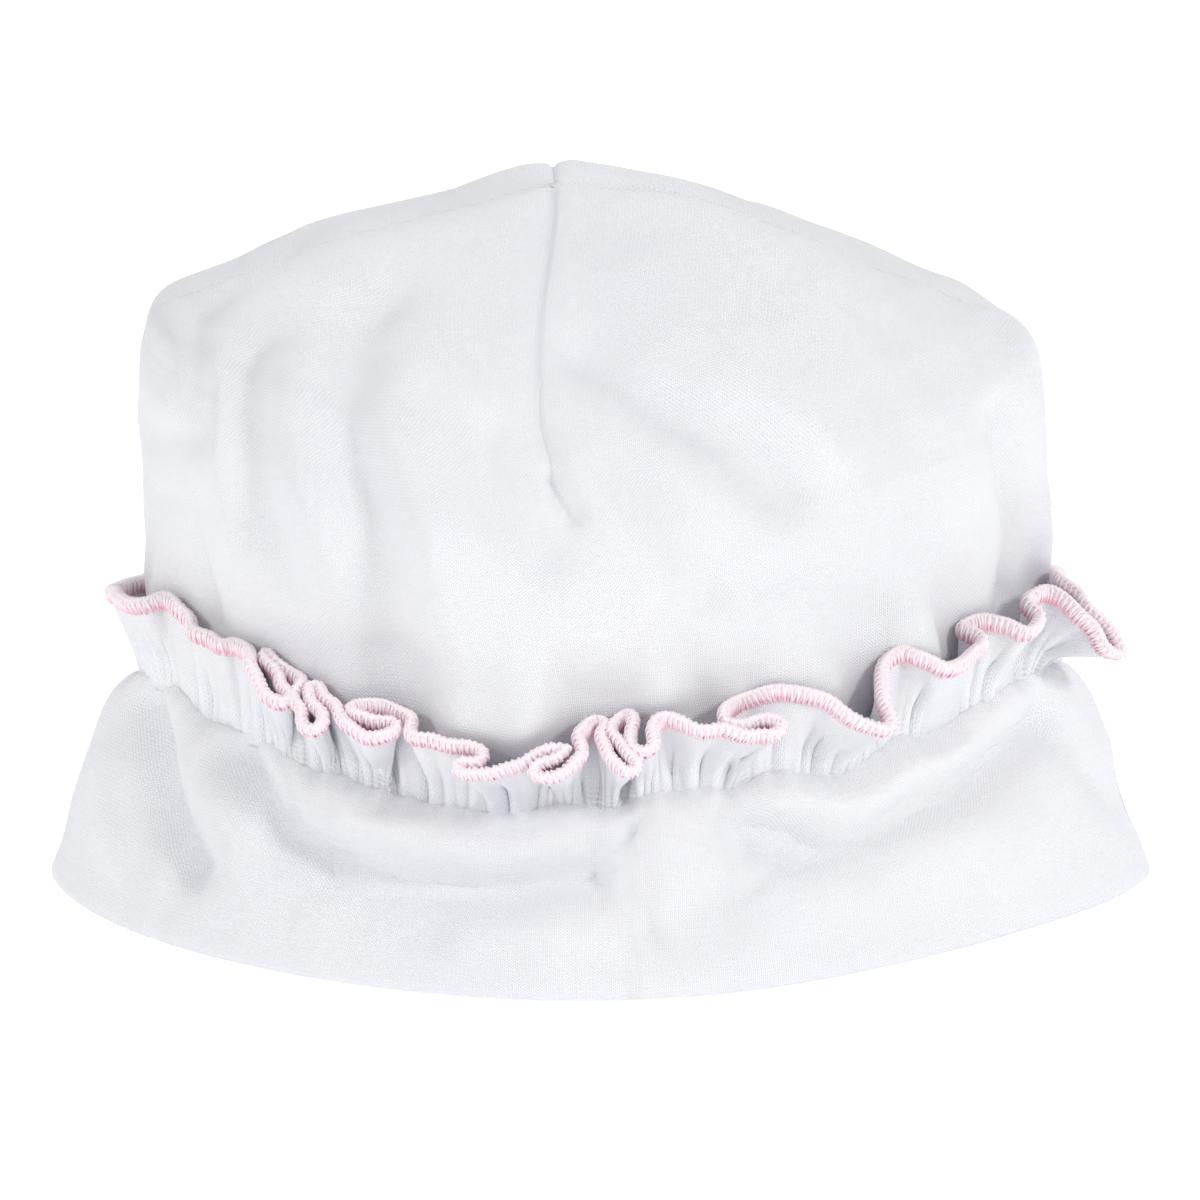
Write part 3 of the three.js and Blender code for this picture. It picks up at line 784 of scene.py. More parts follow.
@dataclass
class CrownShape:
    """The outside of the crown by angle round the hat and by ring from the hem to the top.

    Ends and starts are in rings, the seam allowance beside the front dart is in millimetres.
    """

    top: float = float(len(CROWN_RINGS) - 1)
    seam_end: float = 0.12
    allowance_height: float = 0.3
    allowance_off: float = 2.4
    allowance_width: float = 1.8
    swell_start: tuple[float, float] = (0.6, 2.5)
    swell_end: float = 0.5
    settling: Settling = Settling()

    def __post_init__(self) -> None:
        """Collects the rings."""
        self.rings = np.array([astuple(ring) for ring in CROWN_RINGS], dtype=float)

    def base(self, deg: np.ndarray, ring: np.ndarray) -> tuple[np.ndarray, np.ndarray, np.ndarray]:
        """The smooth outside, before seams and dents.

        Args:
            deg: Angles round the hat.
            ring: Places from the hem at 0 to the top.

        Returns:
            The points, and the distances from the darts and from the side seams, in millimetres.
        """
        values = np.moveaxis(smooth_rows(self.rings, ring), -1, 0)
        left, left_z, right, right_z, front, front_z, back, back_z = values[:8]
        seam, dart, rise, left_power, right_power = values[8:]
        c, s = np.cos(np.radians(deg)), np.sin(np.radians(deg))
        along = np.where(c > 0, right - dart, left + dart)
        across = np.where(s > 0, back - seam, front + seam)
        side_z, end_z = np.where(c > 0, right_z, left_z), np.where(s > 0, back_z, front_z)
        power = left_power + (right_power - left_power) * (1 + c) / 2
        depth = across * np.abs(s) ** (2 * power)
        lift = np.where(s > 0, 0.0, rise * np.sin(2 * np.radians(deg)) ** 2)
        z = side_z * c * c + end_z * s * s + lift
        points = np.stack([dart + along * c, seam + np.sign(s) * depth, z], axis=-1)
        return points, np.abs(along * c), depth

    def outside(self, deg: np.ndarray, ring: np.ndarray) -> np.ndarray:
        """Points on the smooth outside at angles and rings."""
        return self.base(deg, ring)[0]

    def seams(
        self, deg: np.ndarray, ring: np.ndarray, from_dart: np.ndarray, from_side: np.ndarray
    ) -> np.ndarray:
        """How far the seams pull the cloth in.

        Args:
            deg: Angles round the hat.
            ring: Places up the crown.
            from_dart: Distances from the front and back darts.
            from_side: Distances from the side seams.

        Returns:
            Depths in millimetres.
        """
        dart = DART.shown(ring)
        right_side = np.cos(np.radians(deg)) > 0
        allowance = dart * self.allowance_height * hump(from_dart - self.allowance_off, self.allowance_width)
        cut = dart * DART.pull(from_dart) - allowance * right_side
        cut = cut + SIDE_SEAM.shown(ring) * SIDE_SEAM.pull(from_side)
        return cut * (1 - np.exp(-(self.top - ring) / self.seam_end))

    def lean_on_ruffle(self, deg: np.ndarray, places: np.ndarray, path: "RufflePath") -> np.ndarray:
        """How the cloth settles outwards against the ruffle's folds.

        Args:
            deg: Angles round the hat.
            places: Points of the crown.
            path: The ruffle's edge.

        Returns:
            Moves in millimetres for each point.
        """
        settling = self.settling
        half = np.broadcast_to(TOP_EDGE.array() - path.foot_inset, (*deg.shape, 4))
        outward = plan_outward(deg, half)
        climb = places[..., 2] - top_height(deg)
        level = np.clip(climb / (settling.full_level * path.height), 0, 1)
        stand = plan(deg, half) + outward * (path.stand_out(deg) * level)[..., None]
        push = np.sum((stand - places[..., :2]) * outward, axis=-1) - settling.clearance
        push = np.where(push > 0, settling.follow * push, push)
        share = 1 - fade(climb - settling.fade_level * path.height, *settling.fade_above)
        share = share * fade(places[..., 2], *settling.start_height)
        share = share * fade(np.abs(np.sin(np.radians(deg))), *settling.side_calm)
        move = np.clip(push, -settling.most_in, settling.most_out) * share
        return np.concatenate([outward * move[..., None], np.zeros((*deg.shape, 1))], axis=-1)

    def points(self, deg: np.ndarray, ring: np.ndarray, path: "RufflePath") -> np.ndarray:
        """The outside with its seams, dents and soft unevenness.

        Args:
            deg: Angles by row and column, the last column lying on the first.
            ring: Places up the crown by row and column.
            path: The ruffle's edge, which the crown lies against.

        Returns:
            Points in millimetres by row and column.
        """
        places, from_dart, from_side = self.base(deg, ring)
        normal = ring_normals(places)
        normal[-1] = (0.0, 0.0, 1.0)
        depth = self.seams(deg, ring, from_dart, from_side)
        for dent in CROWN_DENTS:
            depth = depth + dent.press(places, self.outside)
        settled = self.lean_on_ruffle(deg, places, path)
        swell = sum(swell.at(places) for swell in CROWN_SWELLS)
        shown = fade(ring, *self.swell_start) * (1 - np.exp(-(self.top - ring) / self.swell_end))
        return places + settled - normal * ((depth - swell * shown) * fade(ring, 0.0, 1.0))[..., None]


@dataclass
class Crown:
    """The crown: one layer of knit, drawn in at the top by four sewn darts. Its wall is in millimetres.

    Crowding draws the columns towards the seams. Each quarter of a ring is measured in many small steps, and
    the topmost ring a little below the top, where it still has a length.
    """

    path: "RufflePath"
    columns: int = 352
    rows: int = 112
    wall: float = 1.2
    crowding: float = 0.72
    quarter: int = 360
    below_top: float = 0.02

    def angles(self, shape: CrownShape, rings: np.ndarray) -> np.ndarray:
        """Angles of the columns, evenly laid round each ring but closer together at the four seams.

        Args:
            shape: The crown's outside.
            rings: Places of the rows up the crown.

        Returns:
            Angles by row and column.
        """
        even = np.linspace(0, 4, self.columns + 1)
        bent = even - self.crowding * np.sin(2 * np.pi * even) / (2 * np.pi)
        fine = np.linspace(-180, 180, 4 * self.quarter + 1)
        angles = np.empty((len(rings), len(even)))
        for row, ring in enumerate(np.minimum(rings, shape.top - self.below_top)):
            run = run_along(shape.outside(fine, np.full(len(fine), ring)))
            marks = np.interp(bent, np.arange(5), run[:: self.quarter])
            angles[row] = np.interp(marks, run, fine)
        return angles

    def build(self) -> bpy.types.Object:
        """Lays the cloth over the shape and gives it its wall.

        Returns:
            The finished piece.
        """
        shape = CrownShape()
        rings = np.linspace(0, shape.top, self.rows + 1)
        deg = self.angles(shape, rings)
        ring = np.broadcast_to(rings[:, None], deg.shape)
        places = shape.points(deg, ring, self.path)
        grid = ClothGrid("crown_knit", self.columns, self.rows)
        grid.lay(places)
        front, back = self.flat(places, Half.FRONT), self.flat(places, Half.BACK)
        grid.mark_cloth(front, back, np.arange(self.columns) >= self.columns // 2)
        grid.close()
        apply_wall(grid.piece, self.wall, -1.0)
        grid.smooth()
        return grid.piece

    def flat(self, places: np.ndarray, half: Half) -> np.ndarray:
        """Where the points lie on the flat cloth, with the stitches' columns straight up from the hem.

        Args:
            places: The laid points.
            half: The half whose dart the columns run along.

        Returns:
            Flat places in millimetres.
        """
        steps = np.linalg.norm(np.diff(places, axis=1), axis=-1)
        run = np.concatenate([np.zeros((len(places), 1)), np.cumsum(steps, axis=1)], axis=1)
        centre = self.columns // 4 * (2 + half.value)
        across = run - run[:, centre : centre + 1]
        climbs = np.linalg.norm(np.diff(places, axis=0), axis=-1)
        up = np.concatenate([np.zeros((1, places.shape[1])), np.cumsum(climbs, axis=0)])
        up = np.broadcast_to(up.mean(axis=1, keepdims=True), across.shape)
        return np.stack([across, up], axis=-1)


# The cuff


@dataclass(frozen=True)
class HalfWidths:
    """How far a plan reaches from the middle, in millimetres."""

    left: float
    right: float
    front: float
    back: float

    def array(self) -> np.ndarray:
        """The four numbers in a row."""
        return np.array([self.left, self.right, self.front, self.back])


RIM = HalfWidths(82.6, 82.6, 66.5, 66.5)
TOP_EDGE = HalfWidths(69.4, 69.8, 54.0, 54.0)
HEM = HalfWidths(75.2, 75.2, 58.0, 58.0)
PLAN_POWER = (0.62, 0.86)
PLAN_STEP = 2.5
ROLL_HEIGHT = 1.9

# Heights of the cuff's top edge, each after its angle.
TOP_HEIGHTS = (
    (-180, 33.0), (-165, 35.2), (-157, 35.8), (-150, 33.4), (-143, 32.5), (-136, 32.4), (-131, 29.9),
    (-124, 29.2), (-115, 27.5), (-107, 26.7), (-100, 26.8), (-95, 28.4), (-89, 28.0), (-84, 30.0),
    (-77, 30.6), (-73, 29.8), (-69, 31.8), (-65, 31.4), (-60, 30.0), (-56, 31.0), (-51, 33.5), (-44, 33.0),
    (-36, 34.8), (-27, 36.0), (-19, 36.4), (-10, 35.4), (0, 33.8), (20, 32.6), (40, 30.6), (60, 29.2),
    (75, 28.2), (90, 28.8), (108, 28.0), (125, 29.2), (142, 29.4), (160, 30.4),
)


def plan(deg: np.ndarray, half: np.ndarray) -> np.ndarray:
    """Plan of the cuff.

    Args:
        deg: Angles round the hat.
        half: Half widths (left, right, front, back) on the last axis.

    Returns:
        Points in the level, in millimetres.
    """
    c, s = np.cos(np.radians(deg)), np.sin(np.radians(deg))
    power = PLAN_POWER[0] + (PLAN_POWER[1] - PLAN_POWER[0]) * (1 + c) / 2
    side = np.where(c > 0, half[..., 1], half[..., 0])
    depth = np.where(s > 0, half[..., 3], half[..., 2])
    return np.stack([side * c, np.sign(s) * depth * np.abs(s) ** (2 * power)], axis=-1)


def plan_outward(deg: np.ndarray, half: np.ndarray) -> np.ndarray:
    """Outward directions of the plan."""
    step = plan(deg + PLAN_STEP, half) - plan(deg - PLAN_STEP, half)
    return unit(np.stack([step[..., 1], -step[..., 0]], axis=-1))


def top_height(deg: np.ndarray) -> np.ndarray:
    """Height of the cuff's top edge.

    Args:
        deg: Angles round the hat.

    Returns:
        The height at each angle, in millimetres.
    """
    table = np.array(TOP_HEIGHTS, dtype=float)
    ringed = np.concatenate([table[-2:] - [360, 0], table, table[:3] + [360, 0]])
    deg = (np.asarray(deg, dtype=float) + 180) % 360 - 180
    place = np.interp(deg, ringed[:, 0], np.arange(len(ringed)))
    return smooth_rows(ringed[:, 1:], place)[..., 0]


@dataclass(frozen=True)
class CuffRow:
    """One line round the cuff, in millimetres but for its shares.

    It lies at a share of the way up, or at a set height if it has one, inset and swelling from there, and it
    takes a share of the dents.
    """

    share: float
    inset: float
    swell: float = 0.0
    height: float | None = None
    dented: float = 0.0


CUFF_ROWS = (
    CuffRow(0.0, 4.3, 0, 0.0),
    CuffRow(0.0, 2.2, 0, 0.02),
    CuffRow(0.0, 0.8, 0, 0.5),
    CuffRow(0.0, 0.0, 0, ROLL_HEIGHT, 0.1),
    CuffRow(0.14, 0.0, 0.5, None, 0.6),
    CuffRow(0.3, 0.0, 0.9, None, 1.0),
    CuffRow(0.46, 0.0, 1.2, None, 1.0),
    CuffRow(0.62, 0.0, 1.5, None, 1.0),
    CuffRow(0.77, 0.0, 1.7, None, 1.0),
    CuffRow(0.88, 0.0, 1.4, None, 0.9),
    CuffRow(0.95, 0.0, 0.9, None, 0.6),
    CuffRow(0.985, 0.1, 0.2, None, 0.4),
    CuffRow(0.985, 0.7, 0.0, None, 0.3),
    CuffRow(0.965, 1.2, 0.0, None, 0.3),
    CuffRow(0.955, 1.9, 0.0, None, 0.3),
    CuffRow(0.91, 2.3, 0.0, None, 0.4),
    CuffRow(0.8, 2.2, 0.9, None, 0.9),
    CuffRow(0.55, 2.3, 1.3, None, 0.95),
    CuffRow(0.3, 2.4, 0.8, None, 0.9),
    CuffRow(0.1, 2.6, 0.2, None, 0.4),
    CuffRow(0.0, 2.9, 0, 3.2),
    CuffRow(0.0, 4.2, 0, 3.0),
)
# The lines of the hem inside the cuff, each as an inset from the hem's plan and a height.
RETURN_ROWS = ((0.35, 6.0), (0.0, 9.6), (0.0, 10.9), (1.0, 11.0), (2.0, 10.8), (2.0, 9.0), (1.6, 5.0))
UNDER_ROWS = (CuffRow(0.0, 6.9, 0, 1.8), CuffRow(0.0, 5.8, 0, 0.3))

# How far the outside swells at shares of its height.
OUTSIDE_SWELLS = (
    (0.0, 0.0), (0.14, 0.5), (0.3, 0.9), (0.46, 1.2), (0.62, 1.5), (0.77, 1.7), (0.9, 1.3), (1.0, 0.4),
)
CUFF_SWELLS = (Swell(0.4, 30.0, seed=21), Swell(0.14, 11.0, seed=22))

CUFF_DENTS = (
    Dent(((-163, 0.9), (-154, 0.7), (-147, 0.52), (-141, 0.36)), 4.2, 4.8),
    Dent(((-168, 0.55), (-160, 0.34), (-154, 0.2)), 4.0, -0.9),
    Dent(
        ((-139, 0.9), (-133, 0.74), (-126, 0.62), (-119, 0.56), (-110, 0.54), (-101, 0.56), (-91, 0.62)),
        3.6, 5.4,
    ),
    Dent(((-121, 0.5), (-115, 0.36), (-109, 0.26)), 4.4, 2.2),
    Dent(((-131, 0.96), (-129.5, 0.78)), 2.2, 1.9),
    Dent(((-121, 0.84), (-106, 0.8), (-93, 0.83)), 3.0, -1.6),
    Dent(((-105, 0.3), (-97, 0.36), (-91, 0.34)), 5.0, -1.0),
    Dent(((-88.6, 0.84), (-88.0, 0.5), (-87.6, 0.24)), 2.2, -1.2),
    Dent(((-86.2, 0.86), (-85.4, 0.55), (-84.6, 0.3)), 2.6, 1.4),
    Dent(((-92, 0.84), (-89, 0.76), (-86, 0.84)), 1.6, 1.7),
    Dent(((-88, 0.93), (-86.5, 0.9)), 1.9, -1.5),
    Dent(((-83, 0.2), (-77, 0.32), (-71, 0.48), (-66, 0.57)), 4.6, 3.2),
    Dent(((-75.5, 0.86), (-71, 0.76), (-67, 0.68)), 2.2, 2.2),
    Dent(((-72, 0.72), (-66, 0.61), (-60, 0.61), (-50, 0.67), (-38, 0.74), (-24, 0.8)), 3.3, 4.6),
    Dent(((-68, 0.87), (-56, 0.84), (-42, 0.89)), 3.0, -1.8),
    Dent(((-60, 0.34), (-48, 0.4), (-36, 0.42)), 5.0, -0.9),
    Dent(((-24, 0.7), (-16, 0.45), (-10, 0.3)), 4.6, 1.7),
    Dent(((36, 0.8), (50, 0.5), (60, 0.3)), 4.8, 3.0),
    Dent(((78, 0.7), (92, 0.55), (100, 0.6)), 4.4, 2.8),
    Dent(((118, 0.75), (128, 0.4)), 4.4, 2.8),
    Dent(((148, 0.8), (158, 0.5)), 4.4, 2.4),
)

# How far the rim's front lies behind its plan, each after its angle.
RIM_EASE = (
    (-180, 0.0), (-140, -0.1), (-115, 0.5), (-98, 1.2), (-86, 2.0), (-78, 2.6), (-71, 3.2), (-64, 4.0),
    (-56, 4.4), (-47, 4.0), (-39, 3.0), (-31, 1.3), (-20, -0.9), (-8, -0.8), (0, 0.0),
)


def rim_ease(deg: np.ndarray) -> np.ndarray:
    """How far the rim's front lies behind its plan.

    Args:
        deg: Angles round the hat.

    Returns:
        The distance at each angle, in millimetres.
    """
    table = np.array(RIM_EASE, dtype=float)
    place = np.interp(deg, table[:, 0], np.arange(len(table)))
    return np.where(deg < 0, smooth_rows(table[:, 1:], place)[..., 0], 0.0)


@dataclass
class Cuff:
    """The turned-up cuff: a double band with a soft fold at its foot and the crown's hem inside.

    A dent presses inwards and falls a little. The ruffle's tucks leave nicks and puffs below the seam, in
    millimetres. A spread says how much wider than the tucks they are, and a limit how much of the tucks they
    follow.
    """

    path: "RufflePath"
    columns: int = 640
    rows: int = 92
    dent_fall: float = 0.35
    lip_share: float = 0.15
    nick_depth: float = 0.5
    nick_height: float = 1.8
    nick_spread: float = 1.5
    nick_limit: float = 1.0
    puff_depth: float = 0.3
    puff_height: float = 3.0
    puff_below: float = 1.6
    puff_spread: float = 2.6
    puff_limit: float = 1.2
    puff_level: float = 0.45

    def band(self, deg: np.ndarray, share: np.ndarray, swell: np.ndarray, inset: float = 0.0) -> np.ndarray:
        """Points on the band between the rim and the top edge.

        Args:
            deg: Angles round the hat.
            share: Shares of the way up.
            swell: How far each point stands out.
            inset: How far all of them lie in.

        Returns:
            Points in millimetres.
        """
        up = share[..., None]
        level = plan(deg, RIM.array() * (1 - up) + TOP_EDGE.array() * up + swell[..., None] - inset)
        level[..., 1] += rim_ease(deg) * (1 - share)
        height = ROLL_HEIGHT + (top_height(deg) - ROLL_HEIGHT) * share
        return np.concatenate([level, height[..., None]], axis=-1)

    def line(self, deg: np.ndarray, row: CuffRow) -> np.ndarray:
        """One line round the cuff.

        Args:
            deg: Angles of its points.
            row: Where it runs.

        Returns:
            Points in millimetres.
        """
        places = self.band(deg, np.full(deg.shape, row.share), np.full(deg.shape, row.swell), row.inset)
        if row.height is not None:
            places[:, 2] = row.height
        return places

    def inner_line(self, deg: np.ndarray, inset: float, height: float) -> np.ndarray:
        """One line round the inner turn, inset from the hem's plan."""
        level = plan(deg, np.broadcast_to(HEM.array() - inset, (*deg.shape, 4)))
        return np.concatenate([level, np.full((*deg.shape, 1), height)], axis=-1)

    def outside(self, deg: np.ndarray, share: np.ndarray) -> np.ndarray:
        """Points on the smooth outside at angles and shares of the height."""
        shares, swells = zip(*OUTSIDE_SWELLS)
        return self.band(deg, share, np.interp(share, shares, swells))

    def laid(self, deg: np.ndarray) -> tuple[np.ndarray, np.ndarray]:
        """The band before it is dented.

        Args:
            deg: Angles of the columns.

        Returns:
            Points in millimetres by row and column, and the share of the dents that each row takes.
        """
        lines = [self.line(deg, row) for row in CUFF_ROWS]
        lines += [self.inner_line(deg, inset, height) for inset, height in RETURN_ROWS]
        lines += [self.line(deg, row) for row in UNDER_ROWS]
        dented = [row.dented for row in CUFF_ROWS] + [0.0] * (len(RETURN_ROWS) + len(UNDER_ROWS))
        count = len(lines)
        ringed = np.array([*lines[-2:], *lines, *lines[:3]]).reshape(count + 5, -1)
        at = np.linspace(2, count + 2, self.rows + 1)
        places = smooth_rows(ringed, at).reshape(self.rows + 1, len(deg), 3)
        places[..., 2] = np.maximum(places[..., 2], 0.0)
        share = np.interp(at - 2, np.arange(count + 1), [*dented, dented[0]])
        return places, share[:, None]

    def seam_marks(self, deg: np.ndarray, places: np.ndarray) -> tuple[np.ndarray, np.ndarray]:
        """What the ruffle's gathering leaves in the cloth below its seam.

        Args:
            deg: Angles of the columns.
            places: The laid points.

        Returns:
            Depths of the nicks and heights of the puffs, in millimetres.
        """
        along, length = self.path.run_at(deg) / self.path.length, self.path.length
        nicks = np.minimum(self.path.gathers.tucks(along, length, self.nick_spread, 0.0), self.nick_limit)
        puffs = np.minimum(self.path.gathers.tucks(along, length, self.puff_spread, 0.0), self.puff_limit)
        below = np.maximum(top_height(deg)[None] - places[..., 2], 0.0)
        nicks = self.nick_depth * nicks[None] * hump(below, self.nick_height)
        puffs = (self.puff_level - puffs)[None] * hump(below - self.puff_below, self.puff_height)
        return nicks, self.puff_depth * puffs

    def build(self) -> bpy.types.Object:
        """Lays the band and dents it.

        Returns:
            The finished piece.
        """
        deg = np.linspace(-180, 180, self.columns + 1)
        places, share = self.laid(deg)
        outward = plan_outward(deg, np.broadcast_to(TOP_EDGE.array(), (len(deg), 4)))
        outward = np.concatenate([outward, np.full((len(deg), 1), self.dent_fall)], axis=-1)
        depth = np.zeros(places.shape[:2])
        for dent in CUFF_DENTS:
            depth += dent.press(places, self.outside)
        depth = (depth - sum(swell.at(places) for swell in CUFF_SWELLS)) * share
        nicks, puffs = self.seam_marks(deg, places)
        at_lip = share > self.lip_share
        depth = depth + (nicks - puffs) * at_lip
        places = places - unit(outward)[None] * depth[..., None]
        places[..., 2] -= nicks * at_lip
        grid = ClothGrid("cuff_knit", self.columns, self.rows)
        grid.lay(places)
        grid.mark_cloth(self.flat(places))
        grid.close()
        grid.smooth()
        return grid.piece

    def flat(self, places: np.ndarray) -> np.ndarray:
        """Where the points lie on the flat band.

        Args:
            places: The laid points.

        Returns:
            Flat places in millimetres, measured along a line low on the outside.
        """
        run = run_along(places[len(places) // 5])
        climbs = np.linalg.norm(np.diff(places, axis=0), axis=-1).mean(axis=1)
        up = np.concatenate([[0.0], np.cumsum(climbs)])
        return np.stack(np.broadcast_arrays(run[None, :], up[:, None]), axis=-1)


# The ruffle

# The free edge from left to right, read off the photograph in pixels from its left top corner.
EDGE_READ = (
    (121, 600), (134, 606), (148, 604), (161, 597), (172, 602), (186, 617), (197, 631), (209, 640),
    (224, 646), (235, 640), (238, 636), (245, 640), (249, 656), (253, 673), (262, 688), (274, 702),
    (283, 705), (290, 697), (281, 682), (272, 667), (266, 654), (270, 646), (276, 644), (287, 654),
    (297, 669), (300, 682), (297, 698), (298, 713), (304, 724), (314, 730), (322, 726), (324, 717),
    (318, 709), (310, 700), (308, 690), (314, 686), (323, 694), (333, 705), (341, 719), (346, 726),
    (358, 732), (377, 736), (389, 737), (395, 731), (394, 724), (379, 720), (360, 718), (351, 713),
    (352, 708), (362, 705), (377, 704), (389, 707), (400, 713), (408, 722), (417, 736), (436, 743),
    (452, 745), (471, 747), (482, 751), (484, 757), (475, 762), (463, 762), (457, 768), (463, 774),
    (482, 774), (502, 770), (519, 764), (532, 755), (551, 751), (572, 748), (560, 757), (541, 762),
    (533, 769), (537, 777), (551, 776), (570, 767), (583, 756), (580, 743), (577, 734), (586, 725),
    (599, 722), (605, 730), (603, 743), (607, 755), (616, 764), (628, 772), (637, 768), (637, 760),
    (628, 753), (618, 743), (613, 732), (615, 722), (624, 715), (633, 717), (635, 724), (628, 732),
    (630, 741), (641, 751), (655, 749), (656, 739), (651, 730), (655, 720), (664, 716), (677, 722),
    (690, 727), (707, 731), (733, 732), (755, 733), (772, 738), (781, 735), (783, 727), (777, 721),
    (755, 721), (733, 725), (723, 720), (725, 709), (740, 701), (762, 694), (788, 693), (809, 694),
    (827, 701), (842, 712), (859, 722), (874, 729), (885, 731), (892, 726), (884, 700), (881, 684),
    (883, 669), (890, 656), (904, 650), (917, 658), (932, 663), (942, 667), (953, 667), (969, 658),
    (978, 648), (980, 638), (968, 630), (957, 623), (954, 617), (969, 615), (984, 619), (999, 623),
    (1015, 629), (1028, 633), (1037, 627), (1039, 616), (1030, 606), (1028, 598), (1037, 592),
    (1051, 592), (1062, 598), (1076, 610), (1091, 627), (1104, 642), (1116, 656),
)

# Turns of the folds that the photograph doesn't show, as angles and leans in degrees.
LEFT_TURN = ((-172, 22),)
RIGHT_TURN = (
    (-15.8, 78), (-16.6, 66), (-18, 52), (-18.4, 38), (-17.4, 22), (-14, 8), (-8, 2), (0, 0), (9, 4),
)
RIGHT_JOIN = ((17, 12), (22, 22), (26.5, 27), (31, 18), (35, 11))
LEFT_JOIN = (
    (143, 13), (147.5, 22), (152, 27), (156, 21), (160, 14), (166, 11), (172, 13), (177, 17), (182, 21),
)

# The long tucks under the folds' inner turns, as columns of the photograph where they meet the seam.
TUCKS_READ = (161, 212, 266, 323, 400, 427, 511, 586, 625, 673, 699, 720, 800, 810, 909, 981, 1014)


@dataclass
class Gathers:
    """The places where the ruffle's seam draws the cloth into a sharp tuck, the same in every run.

    Depths and widths are in millimetres, reaches are shares of the ruffle's height. A pair gives the weakest
    tuck's and what the strongest has more.
    """

    count: int = 112
    seed: int = 31
    shift: float = 0.33
    depths: tuple[float, float] = (0.4, 0.75)
    widths: tuple[float, float] = (0.42, 0.4)
    reaches: tuple[float, float] = (0.2, 0.65)
    long_depth: float = 1.9
    long_width: float = 0.62
    long_reach: float = 0.85

    def __post_init__(self) -> None:
        """Picks the tucks' places, depths, widths and reaches."""
        rng = np.random.default_rng(self.seed)
        self.place = (np.arange(self.count) + rng.uniform(-self.shift, self.shift, self.count)) / self.count
        strength = rng.uniform(0, 1, self.count) ** 2
        self.depth, self.width, self.reach = (
            least + more * strength for least, more in (self.depths, self.widths, self.reaches)
        )

    def add_long(self, places: np.ndarray) -> None:
        """Adds the long tucks that run up from the seam to the folds' inner turns.

        Args:
            places: Where they are along the seam, from 0 to 1.
        """
        self.place = np.concatenate([self.place, places])
        self.depth = np.concatenate([self.depth, np.full(len(places), self.long_depth)])
        self.width = np.concatenate([self.width, np.full(len(places), self.long_width)])
        self.reach = np.concatenate([self.reach, np.full(len(places), self.long_reach)])

    def tucks(self, share: np.ndarray, length: float, spread: float, level: float) -> np.ndarray:
        """Depth of the tucks along the seam.

        Args:
            share: Places along the seam from 0 to 1.
            length: The seam's length in millimetres.
            spread: How much wider than at the seam the tucks are.
            level: Height above the seam, from 0 to 1 at the ruffle's edge.

        Returns:
            Depths in millimetres.
        """
        total = np.zeros(share.shape)
        for place, depth, width, reach in zip(self.place, self.depth, self.width, self.reach):
            off = ((share - place + 0.5) % 1 - 0.5) * length
            total += depth * float(fade(np.array(reach - level), 0.0, reach)) * hump(off, width * spread)
        return total


@dataclass(frozen=True)
class Ripple:
    """Small waves along the ruffle, out of the cloth's plane. Its height is in millimetres.

    The numbers of waves round the hat lie between the fewest and the most. Their sum is divided by the calm.
    """

    height: float
    fewest: int
    most: int
    waves: int
    calm: float
    latest: float = 6.28

    def along(self, turn: np.ndarray, rng: np.random.Generator) -> np.ndarray:
        """Adds up the waves.

        Args:
            turn: Places along the edge from 0 to a full turn in radians.
            rng: Where the waves' numbers and starts are drawn from.

        Returns:
            Heights in millimetres.
        """
        numbers = rng.integers(self.fewest, self.most, self.waves)
        total = sum(np.sin(turn * number + rng.uniform(0, self.latest)) for number in numbers)
        return self.height * (total / self.calm)


BROAD_RIPPLE = Ripple(0.26, fewest=60, most=150, waves=8, calm=2.4)
FINE_RIPPLE = Ripple(0.16, fewest=190, most=300, waves=6, calm=2.2)


@dataclass(frozen=True)
class EdgeSearch:
    """Which angles and leans are tried for each reading of the edge, in degrees.

    A good try misses the reading by few pixels, or by little more than the best one does. Of the good tries,
    the one nearest to the point before is taken, with a lean counting less than an angle.
    """

    first_angle: float = -178.0
    last_angle: float = 0.0
    angle_step: float = 0.1
    least_lean: float = 6.0
    most_lean: float = 82.0
    lean_step: float = 0.5
    lean_weight: float = 0.3
    good_miss: float = 1.2
    spare_miss: float = 0.3


